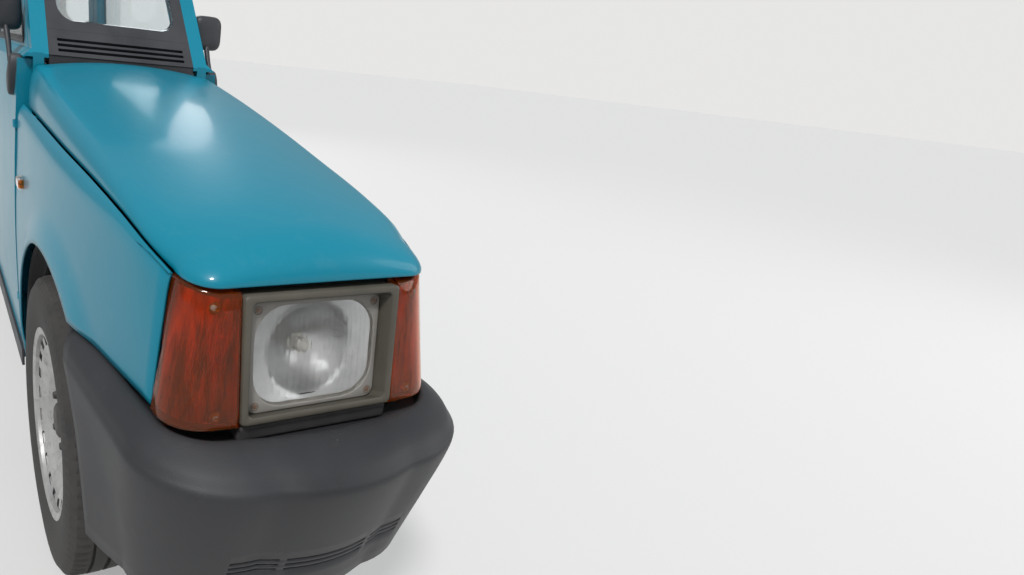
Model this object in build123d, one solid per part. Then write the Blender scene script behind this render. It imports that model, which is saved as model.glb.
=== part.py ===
from build123d import *
import os
from math import cos, radians, sin, sqrt, tan

os.makedirs("parts", exist_ok=True)

# A one-seat, four-wheel microcar made as a small hatchback cut down to half a metre wide.
# All sizes are millimetres. The origin is on the ground under the middle of the body, +Y points to
# the tail, +X to the car's left and +Z up. A station is a distance behind the nose.

# Overall sizes
front_overhang = 600.0
wheelbase = 2160.0
rear_overhang = 640.0
overall_length = front_overhang + wheelbase + rear_overhang
front_axle_station = front_overhang
rear_axle_station = front_overhang + wheelbase
roof_height = 1450.0
above_all = 2 * roof_height

# Clearances
seat_gap = 0.3
shut_gap = 6.0
glass_gap = 0.4

# Cabin section: half-widths and heights of the corners of its outline
sill_half_width = 230.0
sill_bottom = 190.0
sill_crease = 250.0
door_bulge = (237.0, 560.0)
belt = (223.0, 880.0)
glass_foot = (196.0, 902.0)
cant_rail = (172.0, roof_height - 72.0)
cant_bulge = (162.0, roof_height - 37.0)
roof_edge = (136.0, roof_height - 18.0)
glass_bulge = ((glass_foot[0] + cant_rail[0]) / 2 + 2.5, (glass_foot[1] + cant_rail[1]) / 2)
wall = 34.0
roof_seam = 150.0
roof_seam_low = roof_height - 64.0

# Cabin side view: the windscreen and tailgate slopes
screen_foot = (1030.0, 893.0)
screen_rise = 52.7
tail_crease = (overall_length - 55.0, 900.0)
tail_rise = 64.5

# Door, as stations and heights
door_front = 1044.0
door_rear = rear_axle_station - 676.0
door_bottom = 241.0
door_corner = 880.0
door_top = roof_height - 78.0
pillar_width = 58.0
b_pillar_lean = 4.0
door_pin = (231.0, 1049.0)
door_hinge_heights = (345.0, 745.0)
hinge_pin_radius = 3.0
hinge_barrel_radius = 5.5

# Windows in the doors and rear quarters
window_bottom = 918.0
window_top = roof_height - 112.0
window_side = 52.0
quarter_front = door_rear + 84.0
quarter_rear_width = 105.0
pane = 5.0
pane_depth = 14.0

# Bonnet. Columns: station, half-width and height of the lower edge of its side, half-width and height
# of the crease above it, height of the crown
bonnet_rows = [
    (122.0, 150.0, 703.0, 138.0, 713.0, 721.0),
    (134.0, 154.0, 703.0, 147.0, 719.0, 737.0),
    (156.0, 159.0, 704.0, 155.0, 724.0, 749.0),
    (180.0, 164.0, 707.0, 160.5, 729.0, 758.0),
    (220.0, 176.0, 720.0, 172.0, 741.0, 769.0),
    (300.0, 185.0, 736.0, 178.0, 757.0, 786.0),
    (430.0, 193.0, 750.0, 184.0, 779.0, 809.0),
    (600.0, 203.0, 764.0, 197.0, 806.0, 836.0),
    (800.0, 209.0, 778.0, 203.0, 838.0, 863.0),
    (1004.0, 208.0, 785.0, 199.0, 869.0, 888.0),
]
bonnet_skin = 18.0
bonnet_side_skin = 12.0
bonnet_nose_half = 159.0
bonnet_nose_radius = 34.0
bonnet_pin = (998.0, 868.0)
bonnet_hinge_x = 150.0

# Front wings. Columns: station, half-widths of the side, the shoulder and the inner top edge, heights
# of that edge and of the shoulder
wing_rows = [
    (155.0, 184.0, 170.0, 166.0, 704.0, 694.0),
    (220.0, 194.0, 186.0, 181.0, 722.0, 711.0),
    (300.0, 208.0, 197.0, 190.0, 738.0, 727.0),
    (430.0, 227.0, 210.0, 198.0, 752.0, 741.0),
    (600.0, 240.0, 222.0, 208.0, 766.0, 755.0),
    (800.0, 240.0, 228.0, 214.0, 780.0, 768.0),
    (1038.0, 236.0, 227.0, 214.0, 788.0, 777.0),
]
wing_axle_row = 4
wing_waist = 520.0
wing_tuck = 5.0
wing_skin = 22.0
wing_bottom = 241.0
lamp_rear_top = 168.0
lamp_rear_bottom = 170.0

# Wheel arches
arch_radius = 318.0
arch_rise = 10.0
lip_width = 13.0
lip_out = 9.0

# Front bumper. Columns: height, half-width at the corner, half-width at the rear, station of the
# middle of its front, corner radius, bow
bumper_rows = [
    (543.0, 184.0, 218.0, 72.0, 72.0, 14.0),
    (531.0, 226.0, 247.0, 2.0, 134.0, 18.0),
    (519.0, 228.0, 248.0, 0.0, 138.0, 18.0),
    (430.0, 221.0, 242.0, 20.0, 132.0, 18.0),
    (318.0, 204.0, 233.0, 52.0, 120.0, 18.0),
]
bumper_wall = 12.0
bumper_side_end = 450.0
bumper_shelf = 24.0
slot_height = 5.0
slot_pitch = 9.0
slot_low = 374.0
slot_rows = 3
slot_groups = [(-121.0, -63.0), (-55.0, 55.0), (63.0, 121.0)]

# Nose panel, headlamp and corner lamps
nose_station = 128.0
nose_skin = 12.0
nose_half_width = 150.0
nose_top = 698.0
nose_foot_front = 118.0
nose_foot_rear = 132.0
headlamp_half_width = 98.0
headlamp_bottom = 545.0
headlamp_height = 148.0
headlamp_station = 92.0
lamp_lean = 8.0
headlamp_frame = 15.0
lens_recess = 6.0
lens_skin = 6.0
reflector_radius = 52.0
corner_lamp_top = 693.0
corner_lamp_rear_top = 699.0
corner_lamp_gap = 4.0
corner_lamp_skin = 34.0
# Corner lamps. Columns: height, half-width at the corner, half-width at the rear, station of the middle
# of the front, corner radius, bow
corner_lamp_rows = [
    (525.0, 186.5, 196.0, 91.0, 50.0, 8.0),
    (712.0, 163.5, 173.0, 117.5, 62.0, 8.0),
]
repeater_station = 905.0
repeater_height = 645.0
repeater_in = 234.0

# Wheels
wheel_radius = 270.0
wheel_x = 178.0
tyre_width = 137.0
bead_radius = 165.0
flange_radius = 176.0
barrel_skin = 5.0
disc_offset = 30.0
hub_radius = 32.0
spindle_radius = 12.0
wheel_slots = 14
slot_circle = 122.0

# Steering
kingpin_x = 115.0
kingpin_radius = 8.0
kingpin_boss = 16.0
steer_arm = 100.0
steer_limit = 15.0
rack_radius = 7.0
rack_drop = 20.0

# Floor, frame and firewall
firewall_station = 985.0
floor_skin = 15.0
floor_rear = rear_axle_station - wheel_radius - 50.0
spine_half_width = 24.0
spine_bottom = 300.0
spine_height = 60.0
beam_half_depth = 20.0
beam_bottom = 245.0
liner_radius = 302.0
liner_skin = 6.0
liner_half_width = 205.5

# Tail lamps, as half-widths, heights and stations
tail_lamp_in_top = 140.0
tail_lamp_in_bottom = 108.0
tail_lamp_out = 246.0
tail_lamp_bottom = 548.0
tail_lamp_top = 822.0
tail_lamp_slant = 30.0
tail_lamp_front = overall_length - 110.0
tail_lamp_back = overall_length - 26.0

# Tailgate
tailgate_skin = 34.0
ledge_height = 806.0
ledge_out = 16.0
tailgate_bottom = 560.0
rear_window_half = 112.0
rear_window_low = 948.0
rear_window_high = roof_height - 98.0
seal_width = 38.0
tailgate_hinge_x = 66.0

ground_to_axle = wheel_radius


def at(station):
    """Y of a station."""
    return station - overall_length / 2


def block(x_low, x_high, station_low, station_high, z_low, z_high):
    """Straight block between two corners."""
    size = (x_high - x_low, station_high - station_low, z_high - z_low)
    middle = ((x_low + x_high) / 2, at((station_low + station_high) / 2), (z_low + z_high) / 2)
    return Pos(*middle) * Box(*size)


def side_prism(points, x_low, x_high):
    """Outline of (station, height) points carried across the car."""
    outline = Polyline(*[(x_low, at(s), z) for s, z in points], close=True)
    return extrude(make_face(outline), amount=x_high - x_low, dir=(1, 0, 0))


def rod_x(radius, x_low, x_high, station, z):
    """Round bar across the car."""
    bar = Rot(0, 90, 0) * Cylinder(radius, x_high - x_low)
    return Pos((x_low + x_high) / 2, at(station), z) * bar


def rod_z(radius, x, station, z_low, z_high):
    """Upright round bar."""
    return Pos(x, at(station), (z_low + z_high) / 2) * Cylinder(radius, z_high - z_low)


def both(solid):
    """A solid and its mirror image on the other side of the car."""
    return solid + mirror(solid, Plane.YZ)


def other_side(solid):
    return mirror(solid, Plane.YZ)


# Cabin section
def cabin_face():
    """Outline across the car of the cabin's left half and a strip past its middle, at Y = 0."""
    corner = [(sill_half_width, sill_bottom), (sill_half_width, sill_crease), belt, glass_foot, cant_rail,
              roof_edge]
    point = [(x, 0, z) for x, z in corner]
    bulge = [(x, 0, z) for x, z in (door_bulge, glass_bulge, cant_bulge)]
    far_top = (-roof_edge[0], 0, roof_edge[1])
    far_low = (-roof_edge[0], 0, sill_bottom)
    edges = [
        Line(point[0], point[1]),
        ThreePointArc(point[1], bulge[0], point[2]),
        Line(point[2], point[3]),
        ThreePointArc(point[3], bulge[1], point[4]),
        ThreePointArc(point[4], bulge[2], point[5]),
        ThreePointArc(point[5], (0, 0, roof_height), far_top),
        Line(far_top, far_low),
        Line(far_low, point[0]),
    ]
    return Face(Wire(edges))


def cabin_solid(inset):
    """The cabin's section, drawn in by an inset and carried from nose to tail."""
    section = cabin_face()
    if inset:
        section = offset(section, amount=-inset, kind=Kind.INTERSECTION)
    solid = Pos(0, at(0), 0) * extrude(section, amount=overall_length, dir=(0, 1, 0))
    solid &= block(0, 300, -1, overall_length + 1, 0, roof_height + 20)
    return solid + mirror(solid, Plane.YZ)


def slope_station(foot, rise, height, lean):
    """Station of a sloping line at a height; lean is 1 where the line leans back as it rises."""
    return foot[0] + lean * (height - foot[1]) / tan(radians(rise))


def screen_station(height):
    return slope_station(screen_foot, screen_rise, height, 1)


def tail_station(height):
    return slope_station(tail_crease, tail_rise, height, -1)


above_roof = roof_height + 1
cabin_side = [
    (screen_foot[0], sill_bottom - 1),
    screen_foot,
    (screen_station(above_roof), above_roof),
    (tail_station(above_roof), above_roof),
    tail_crease,
    (tail_crease[0], sill_bottom - 1),
]
half_span = 300.0
cabin_envelope = side_prism(cabin_side, -half_span, half_span)
cabin_inside = cabin_solid(wall)
cabin_shell = (cabin_solid(0) - cabin_inside) & cabin_envelope
pane_shell = (cabin_solid(pane_depth) - cabin_solid(pane_depth + pane)) & cabin_envelope


def door_outline(gap):
    """Outline of the door in side view, grown all round by a gap."""
    front_low = (screen_station(door_corner) + pillar_width - gap, door_corner + gap)
    front_high = (screen_station(door_top) + pillar_width - gap, door_top + gap)
    return [
        (door_front - gap, door_bottom - gap),
        (door_front - gap, door_corner + gap),
        front_low,
        front_high,
        (door_rear - b_pillar_lean + gap, door_top + gap),
        (door_rear + gap, door_corner),
        (door_rear + gap, door_bottom - gap),
    ]


def door_window(gap):
    """Outline of the door's window, drawn in by a gap."""
    front = pillar_width + window_side
    low = window_bottom + gap
    high = window_top - gap
    return [
        (screen_station(low) + front + gap, low),
        (screen_station(high) + front + gap, high),
        (door_rear - b_pillar_lean - window_side - gap, high),
        (door_rear - window_side - gap, low),
    ]


def quarter_window(gap):
    """Outline of the rear quarter window, drawn in by a gap."""
    low = window_bottom + gap
    high = window_top - gap
    return [
        (quarter_front + gap, low),
        (quarter_front + gap, high),
        (tail_station(high) - quarter_rear_width - gap, high),
        (tail_station(low) - quarter_rear_width - gap, low),
    ]


def arch_cut(axle_station, radius, x_low, x_high):
    return rod_x(radius, x_low, x_high, axle_station, ground_to_axle + arch_rise)


def arch_lip(axle_station, x_skin, keep):
    """Raised lip round a wheel arch, kept inside a side outline."""
    x_low = x_skin - wing_skin / 2
    x_high = x_skin + lip_out
    ring = arch_cut(axle_station, arch_radius + lip_width, x_low, x_high)
    ring -= arch_cut(axle_station, arch_radius, x_low - 1, x_high + 1)
    return ring & side_prism(keep, x_low, x_high)


parts = {}


# Doors
def build_doors():
    door = cabin_shell & side_prism(door_outline(0), 0, half_span)
    door -= side_prism(door_window(0), 0, half_span)
    for height in door_hinge_heights:
        door -= door_notch(height)
    glass = pane_shell & side_prism(door_window(glass_gap), 0, half_span)
    parts["door_left"] = door
    parts["door_right"] = other_side(door)
    parts["door_glass_left"] = glass
    parts["door_glass_right"] = other_side(glass)


# Side frames: sill, hinge post, windscreen pillar, roof rail, centre pillar and rear quarter
post_in = 150.0
post_out = 202.0
post_neck_out = 180.0
post_shoulder = 764.0
post_top = 838.0
neck_in = 172.0
neck_top = 895.0
rear_closing = 15.0


def tail_cut(depth):
    """Everything behind the tailgate's slope, moved forward by a depth."""
    turn = radians(tail_rise)
    slope_back = depth / sin(turn)
    outline = [
        (tail_station(above_roof) - slope_back, above_roof),
        (overall_length + 60, above_roof),
        (overall_length + 60, 0),
        (tail_crease[0] - depth, 0),
        (tail_crease[0] - depth, tail_crease[1] - depth / 2),
    ]
    return side_prism(outline, -half_span, half_span)


def build_side_frames():
    frame = cabin_shell & block(0, half_span, 0, overall_length, sill_bottom - 1, above_roof)
    frame -= roof_space()
    opening = door_outline(shut_gap)
    opening[0] = (firewall_station, opening[0][1])
    opening[1] = (firewall_station, opening[1][1])
    frame -= side_prism(opening, 0, half_span)
    frame -= side_prism(quarter_window(0), 0, half_span)
    frame -= arch_cut(rear_axle_station, arch_radius, 0, half_span)
    inner_face = sill_half_width - wall
    frame -= block(0, inner_face, 0, overall_length, 0, sill_bottom + wall + 1)
    frame -= tail_cut(tailgate_skin + shut_gap)
    frame -= tail_lamp_space()
    post_rear = door_front - shut_gap
    post = block(post_in, post_out, firewall_station, post_rear, sill_bottom, post_shoulder)
    post += block(post_in, post_neck_out, firewall_station, post_rear, post_shoulder - 1, post_top)
    post += block(post_out - 1, 212.2, firewall_station + 5, post_rear - 1, wing_waist - 40, wing_waist + 40)
    neck = block(neck_in, glass_foot[0] - 2, screen_foot[0], post_rear, post_top - 10, neck_top)
    axle = rear_axle_station
    lip_keep = [(axle - 400, 250), (axle - 400, 800), (axle + 400, 800), (axle + 400, 250)]
    lip = arch_lip(axle, door_bulge[0], lip_keep)
    carrier_in = tail_lamp_in_top + 8
    carrier_rear = tail_lamp_front - seat_gap
    carrier_low = tail_lamp_bottom + 4
    carrier = block(
        carrier_in, sill_half_width - 20, carrier_rear - rear_closing, carrier_rear, carrier_low, tail_lamp_top
    )
    frame = frame + post + neck + lip + carrier
    frame -= block(0, half_span, axle, overall_length, 0, bumper_rows[0][0] + 3)
    for height in door_hinge_heights:
        frame += door_tongue(height)
    parts["side_frame_left"] = frame
    parts["side_frame_right"] = other_side(frame)
    glass = pane_shell & side_prism(quarter_window(glass_gap), 0, half_span)
    parts["quarter_glass"] = both(glass)


hinge_height = 16.0


def door_tongue(height):
    """Fixed half of a door hinge: an arm from the hinge post round to the pin."""
    pin_x, pin_station = door_pin
    low = height - hinge_height / 2
    high = height + hinge_height / 2
    edge = door_front - shut_gap
    arm = block(post_out - 12, post_out, edge - 10, edge + 5, low, high)
    arm += block(post_out - 12, pin_x, edge + seat_gap, edge + 5, low, high)
    arm += block(pin_x - 4, pin_x + 3, edge + seat_gap, pin_station, low, high)
    barrel = rod_z(hinge_barrel_radius, pin_x, pin_station, low, high)
    bore = rod_z(hinge_pin_radius + seat_gap, pin_x, pin_station, low - 1, high + 1)
    return arm + barrel - bore


def door_notch(height):
    """Room in the door's front edge for the fixed half of a hinge, crossed by the pin."""
    pin_x, pin_station = door_pin
    low = height - hinge_height / 2 - seat_gap
    high = height + hinge_height / 2 + seat_gap
    room = block(0, half_span, door_front - 1, pin_station + hinge_barrel_radius + 2, low, high)
    return room - rod_z(hinge_pin_radius, pin_x, pin_station, low - 1, high + 1)


def roof_space():
    return block(-roof_seam, roof_seam, 0, overall_length, roof_seam_low, above_roof)


def tail_pin():
    """Station and height of the tailgate's hinge pin."""
    turn = radians(tail_rise)
    depth = tailgate_skin + shut_gap / 2 + 2
    return tail_station(roof_height) - depth / sin(turn), roof_height - 2


tail_barrel = 5.0
tail_lug = 12.0


def build_roof():
    roof = (cabin_shell & roof_space()) - tail_cut(tailgate_skin + shut_gap + 4)
    station, height = tail_pin()
    room = tail_lug / 2 + 2 * seat_gap + 9
    roof -= both(rod_x(
        tail_barrel + 1, tailgate_hinge_x - room, tailgate_hinge_x + room, station, height
    ))
    x_low = tailgate_hinge_x - tail_lug / 2
    x_high = tailgate_hinge_x + tail_lug / 2
    lug = rod_x(tail_barrel, x_low, x_high, station, height)
    lug += block(x_low, x_high, station - 14, station, height - 3, height + 2)
    bore = rod_x(hinge_pin_radius + seat_gap, x_low - 1, x_high + 1, station, height)
    roof = roof + both(lug)
    parts["roof_panel"] = roof - both(bore)


# Windscreen, its surround and the louvred panel below it, all in one slope between the pillars
screen_seal = 26.0
screen_seal_depth = 22.0
screen_glass_depth = 8.0
screen_corner = 34.0
louvre_top = 944.0
louvre_count = 3
louvre_width = 7.0
louvre_pitch = 13.0
louvre_low = 10.0
louvre_side = 20.0
scuttle_foot = (1024.0, 876.0)


def on_slope(along, depth):
    """Station and height of a point on the windscreen's slope, at a depth behind its outer face."""
    turn = radians(screen_rise)
    station = screen_foot[0] + along * cos(turn) + depth * sin(turn)
    return station, screen_foot[1] + along * sin(turn) - depth * cos(turn)


def slope_slab(along_low, along_high, near, far, half):
    """Slab in the windscreen's slope between two distances along it and two depths."""
    outline = [
        on_slope(along_low, near), on_slope(along_high, near), on_slope(along_high, far),
        on_slope(along_low, far),
    ]
    return side_prism(outline, -half, half)


def height_along(height):
    return (height - screen_foot[1]) / sin(radians(screen_rise))


def screen_plug(inset):
    """What fills the windscreen's opening, drawn in by an inset all round and rounded at its corners."""
    turn = radians(screen_rise)
    low = louvre_top + inset * sin(turn)
    high = roof_height - wall - inset * sin(turn)
    width_low = glass_foot[0] - wall - inset
    width_high = cant_rail[0] - wall - inset
    outline = Polyline(
        (-width_low, 0, low), (width_low, 0, low), (width_high, 0, high), (-width_high, 0, high), close=True
    )
    face = fillet(make_face(outline).vertices(), screen_corner)
    solid = extrude(face, amount=overall_length, dir=(0, 1, 0))
    return Pos(0, at(0), 0) * solid


def build_windscreen():
    opening = screen_plug(screen_seal)
    low = height_along(louvre_top) + seat_gap
    high = height_along(above_roof)
    surround = slope_slab(low, high, 0, screen_seal_depth, half_span) & cabin_solid(wall + seat_gap)
    parts["windscreen_seal"] = surround - opening
    inner = screen_plug(screen_seal + glass_gap)
    near = screen_glass_depth
    parts["windscreen_glass"] = slope_slab(0, high, near, near + pane, half_span) & inner


def build_scuttle():
    high = height_along(louvre_top)
    half = glass_foot[0] - wall - seat_gap
    panel = slope_slab(0, high, 0, screen_seal_depth, half) & cabin_solid(wall + seat_gap)
    foot_station, foot_height = scuttle_foot
    low = dash_top + seat_gap
    foot = block(-half, half, foot_station, foot_station + 22, low, foot_height + 4)
    foot += block(-half, half, foot_station + 8, foot_station + 26, low, screen_foot[1] + 2)
    panel = panel + foot
    for number in range(louvre_count):
        low = louvre_low + number * louvre_pitch
        panel -= slope_slab(low, low + louvre_width, -1, screen_seal_depth - 6, half - louvre_side)
    pin_station, pin_height = bonnet_pin
    barrel = hinge_barrel_radius
    for x in (-bonnet_hinge_x, bonnet_hinge_x):
        tongue = block(x - 7, x + 7, pin_station, foot_station + 1, pin_height - 3, pin_height + 3)
        tongue += rod_x(barrel, x - 7, x + 7, pin_station, pin_height)
        tongue -= rod_x(hinge_pin_radius + seat_gap, x - 8, x + 8, pin_station, pin_height)
        panel += tongue
    parts["scuttle_panel"] = panel


# Bonnet
def bonnet_section(row):
    station, half, edge, crease_half, crease, crown = row
    y = at(station)
    skin = bonnet_skin
    inner_half = half - bonnet_side_skin
    inner_crease = crease_half - bonnet_side_skin
    top = crease - min(skin, (crease - edge) * 0.9)
    edges = [
        Line((half, y, edge), (crease_half, y, crease)),
        ThreePointArc((crease_half, y, crease), (0, y, crown), (-crease_half, y, crease)),
        Line((-crease_half, y, crease), (-half, y, edge)),
        Line((-half, y, edge), (-inner_half, y, edge)),
        Line((-inner_half, y, edge), (-inner_crease, y, top)),
        ThreePointArc((-inner_crease, y, top), (0, y, crown - skin), (inner_crease, y, top)),
        Line((inner_crease, y, top), (inner_half, y, edge)),
        Line((inner_half, y, edge), (half, y, edge)),
    ]
    return Face(Wire(edges))


def build_bonnet():
    panel = loft([bonnet_section(row) for row in bonnet_rows], ruled=True)
    station = bonnet_rows[0][0]
    half = bonnet_nose_half
    plan = block(-half, half, station, station + 2 * bonnet_nose_radius, 0, above_all)
    corners = plan.edges().filter_by(Axis.Z).group_by(Axis.Y)[0]
    plan = fillet(corners, bonnet_nose_radius)
    plan += block(-half_span, half_span, station + bonnet_nose_radius, bonnet_rows[-1][0], 0, above_all)
    panel &= plan
    pin_station, pin_height = bonnet_pin
    for x in (-bonnet_hinge_x, bonnet_hinge_x):
        room = block(x - 7.3, x + 7.3, pin_station - 8, pin_station + 20, 0, above_all)
        panel -= room - rod_x(hinge_pin_radius, x - 9, x + 9, pin_station, pin_height)
    parts["bonnet"] = panel


# Front wings
def wing_section(row):
    station, side, top_half, inner, edge, shoulder = row
    y = at(station)
    low = side - wing_tuck
    points = [
        (low, y, wing_bottom),
        (side, y, wing_waist),
        (top_half, y, shoulder),
        (inner, y, edge),
        (inner, y, edge - wing_skin),
        (top_half - wing_skin, y, shoulder - wing_skin),
        (side - wing_skin, y, wing_waist),
        (low - wing_skin, y, wing_bottom),
    ]
    return make_face(Polyline(*points, close=True))


def build_wings():
    wing = loft([wing_section(row) for row in wing_rows], ruled=True)
    top = bumper_rows[0][0] + 3
    rear = wing_rows[-1][0]
    keep = [
        (lamp_rear_top - 6, above_all),
        (lamp_rear_top - 6, corner_lamp_rear_top + 2),
        (lamp_rear_top, corner_lamp_rear_top + 2),
        (lamp_rear_bottom, top),
        (front_axle_station, top),
        (front_axle_station, wing_bottom),
        (rear, wing_bottom),
        (rear, above_all),
    ]
    wing = wing & side_prism(keep, 0, half_span)
    wing -= arch_cut(front_axle_station, arch_radius, 0, half_span)
    wing += arch_lip(front_axle_station, wing_rows[wing_axle_row][1], keep)
    parts["front_wings"] = both(wing)


# Bumpers
def bumper_face(row, inset, end):
    """Plan outline of a bumper at one height."""
    height, corner_half, rear_half, front, radius, bow = row
    half = corner_half - inset
    rear = rear_half - inset
    start = front + inset
    in_x = half - radius
    bow_end = start + bow
    turn = radius * (1 - sqrt(0.5))
    points = {
        "rear": (rear, at(end), height),
        "side": (half, at(bow_end + radius), height),
        "turn": (half - turn, at(bow_end + turn), height),
        "front": (in_x, at(bow_end), height),
        "middle": (0, at(start), height),
    }
    flip = {name: (-x, y, z) for name, (x, y, z) in points.items()}
    edges = [
        Line(points["rear"], points["side"]),
        ThreePointArc(points["side"], points["turn"], points["front"]),
        ThreePointArc(points["front"], points["middle"], flip["front"]),
        ThreePointArc(flip["front"], flip["turn"], flip["side"]),
        Line(flip["side"], flip["rear"]),
        Line(flip["rear"], points["rear"]),
    ]
    return Face(Wire(edges))


def bumper_shell(end):
    """Hollow bumper, open below and behind, with a shelf round its top."""
    outer = loft([bumper_face(row, 0, end) for row in bumper_rows], ruled=True)
    inner_rows = [row for row in bumper_rows[2:]]
    low = list(bumper_rows[-1])
    low[0] -= 1
    inner_rows[-1] = tuple(low)
    inner = loft([bumper_face(row, bumper_wall, end + 1) for row in inner_rows], ruled=True)
    top = bumper_rows[0]
    hole = bumper_face(top, bumper_shelf, end + 1)
    hole = extrude(Pos(0, 0, -40) * hole, amount=60, dir=(0, 0, 1))
    return outer - inner - hole


boss_half = 14.0
boss_x = 96.0


def build_front_bumper():
    shell = bumper_shell(bumper_side_end)
    shell -= arch_cut(front_axle_station, arch_radius, -half_span, half_span)
    for x_low, x_high in slot_groups:
        for row in range(slot_rows):
            low = slot_low + row * slot_pitch
            shell -= block(x_low, x_high, -5, 95, low, low + slot_height)
    beam_front = beam_station
    boss = block(boss_x - boss_half, boss_x + boss_half, 50, beam_front - seat_gap, 380, 420)
    inner_rows = bumper_rows[1:]
    reach = loft([bumper_face(row, bumper_wall / 2, bumper_side_end) for row in inner_rows], ruled=True)
    shell += both(boss & reach)
    parts["front_bumper"] = shell


def build_rear_bumper():
    end = overall_length - (rear_axle_station + 150)
    shell = bumper_shell(end)
    beam_front = overall_length - rear_beam_station
    boss = block(boss_x - boss_half, boss_x + boss_half, 40, beam_front - seat_gap, 380, 420)
    reach = loft([bumper_face(row, bumper_wall / 2, end) for row in bumper_rows[1:]], ruled=True)
    shell += both(boss & reach)
    shell = mirror(shell, Plane.XZ)
    shell -= arch_cut(rear_axle_station, arch_radius, -half_span, half_span)
    parts["rear_bumper"] = shell


# Frame: a front and a rear spine with the beams that carry the bumpers
beam_station = 92.0
beam_depth = 40.0
rear_beam_station = overall_length - 94.0
nose_beam_half = 138.0
nose_foot_half = 58.0
nose_beam_low = 372.0
nose_beam_top = 428.0
tower_half = 30.0
rear_spine_half = 60.0
rear_spine_height = 28.0


def build_frame():
    spine_top = spine_bottom + spine_height
    w = spine_half_width
    front = block(-w, w, beam_station, firewall_station - seat_gap, spine_bottom, spine_top)
    front += block(
        -nose_beam_half, nose_beam_half, beam_station, beam_station + beam_depth, nose_beam_low, nose_beam_top
    )
    front += block(-w, w, beam_station, beam_station + beam_depth, spine_bottom, nose_beam_top)
    tower_top = ground_to_axle + liner_radius - seat_gap
    axle = front_axle_station
    tower = block(-w, w, axle - tower_half, axle + tower_half, spine_bottom, tower_top)
    front += tower & rod_x(liner_radius - seat_gap, -w, w, axle, ground_to_axle)
    rear_top = spine_bottom + rear_spine_height
    h = rear_spine_half
    rear = block(-h, h, floor_rear + seat_gap, rear_beam_station, spine_bottom, rear_top)
    beam_front = rear_beam_station - beam_depth
    rear += block(
        -nose_beam_half, nose_beam_half, beam_front, rear_beam_station, nose_beam_low, nose_beam_top
    )
    rear += block(-w, w, beam_front, rear_beam_station, spine_bottom, nose_beam_top)
    parts["chassis_frame"] = front + rear


def build_floor():
    inside = sill_half_width - wall - seat_gap
    low = sill_bottom
    floor = block(-inside, inside, firewall_station, floor_rear, low, low + floor_skin)
    post_gap = post_in - seat_gap
    floor -= both(block(post_gap, half_span, firewall_station - 1, door_front - shut_gap + seat_gap, 0, above_all))
    wall_top = post_top
    floor += block(-post_gap, post_gap, firewall_station, firewall_station + floor_skin, low, wall_top)
    bulk_top = load_floor_height - seat_gap
    floor += block(-inside, inside, floor_rear - floor_skin, floor_rear, low, bulk_top)
    parts["floor_pan"] = floor


load_floor_height = 590.0
load_floor_skin = 10.0
tub_in = 86.0
tub_skin = 4.0


def build_liners():
    """Front wheel liner over both wheels; rear tubs under the load floor."""
    height = ground_to_axle
    inside = liner_half_width
    outer = rod_x(liner_radius + liner_skin, -inside, inside, front_axle_station, height)
    arch = outer - rod_x(liner_radius, -half_span, half_span, front_axle_station, height)
    arch &= block(-half_span, half_span, 0, overall_length / 2, height + 40, above_all)
    tunnel = spine_half_width + seat_gap
    tunnel_top = spine_bottom + spine_height + seat_gap
    parts["front_liner"] = arch - block(-tunnel, tunnel, 0, overall_length / 2, 0, tunnel_top)

    reach = sill_half_width - wall - seat_gap
    outer = rod_x(liner_radius + liner_skin, tub_in, reach, rear_axle_station, height)
    tub = outer - rod_x(liner_radius, tub_in + tub_skin, half_span, rear_axle_station, height)
    tub &= block(0, half_span, overall_length / 2, overall_length, sill_bottom, above_all)
    tub -= rod_x(spindle_radius + 30, 0, half_span, rear_axle_station, height)
    low = load_floor_height
    rear_end = tail_lamp_front - rear_closing - seat_gap
    shelf = block(-reach, reach, floor_rear - floor_skin, rear_end, low, low + load_floor_skin)
    tub += block(tub_in, reach, rear_axle_station - 60, rear_axle_station + 60, height + liner_radius, low)
    closing = tail_lamp_in_bottom - 12
    sill_rear = tail_crease[0] - tailgate_skin - shut_gap
    shelf += block(-closing, closing, rear_end - 1, sill_rear, low, low + load_floor_skin)
    shelf += block(-closing, closing, sill_rear - 14, sill_rear, tailgate_bottom - 10, low + load_floor_skin)
    parts["rear_liner"] = shelf + both(tub)


# Axles, knuckles and steering rack
yoke_gap = 2.0
yoke_plate = 16.0
yoke_web_in = 142.0
yoke_web_out = 158.0
yoke_half = 20.0
eye_radius = 17.0
arm_pin = 6.0
boss_low = 240.0
boss_high = 300.0


def build_front_axle():
    ends = kingpin_x - kingpin_boss / 2
    height = spine_bottom - seat_gap - beam_bottom
    beam = block(
        -ends, ends, front_axle_station - beam_half_depth, front_axle_station + beam_half_depth,
        beam_bottom, beam_bottom + height,
    )
    trim = block(70, ends, 0, overall_length, 0, above_all)
    taper = block(
        70, ends + 1, front_axle_station - kingpin_boss, front_axle_station + kingpin_boss, 0, above_all
    )
    beam -= both(trim - taper)
    boss = rod_z(kingpin_boss, kingpin_x, front_axle_station, boss_low, boss_high)
    pin = rod_z(
        kingpin_radius, kingpin_x, front_axle_station,
        boss_low - yoke_gap - yoke_plate, boss_high + yoke_gap + yoke_plate,
    )
    parts["front_axle"] = beam + both(boss + pin)


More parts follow.
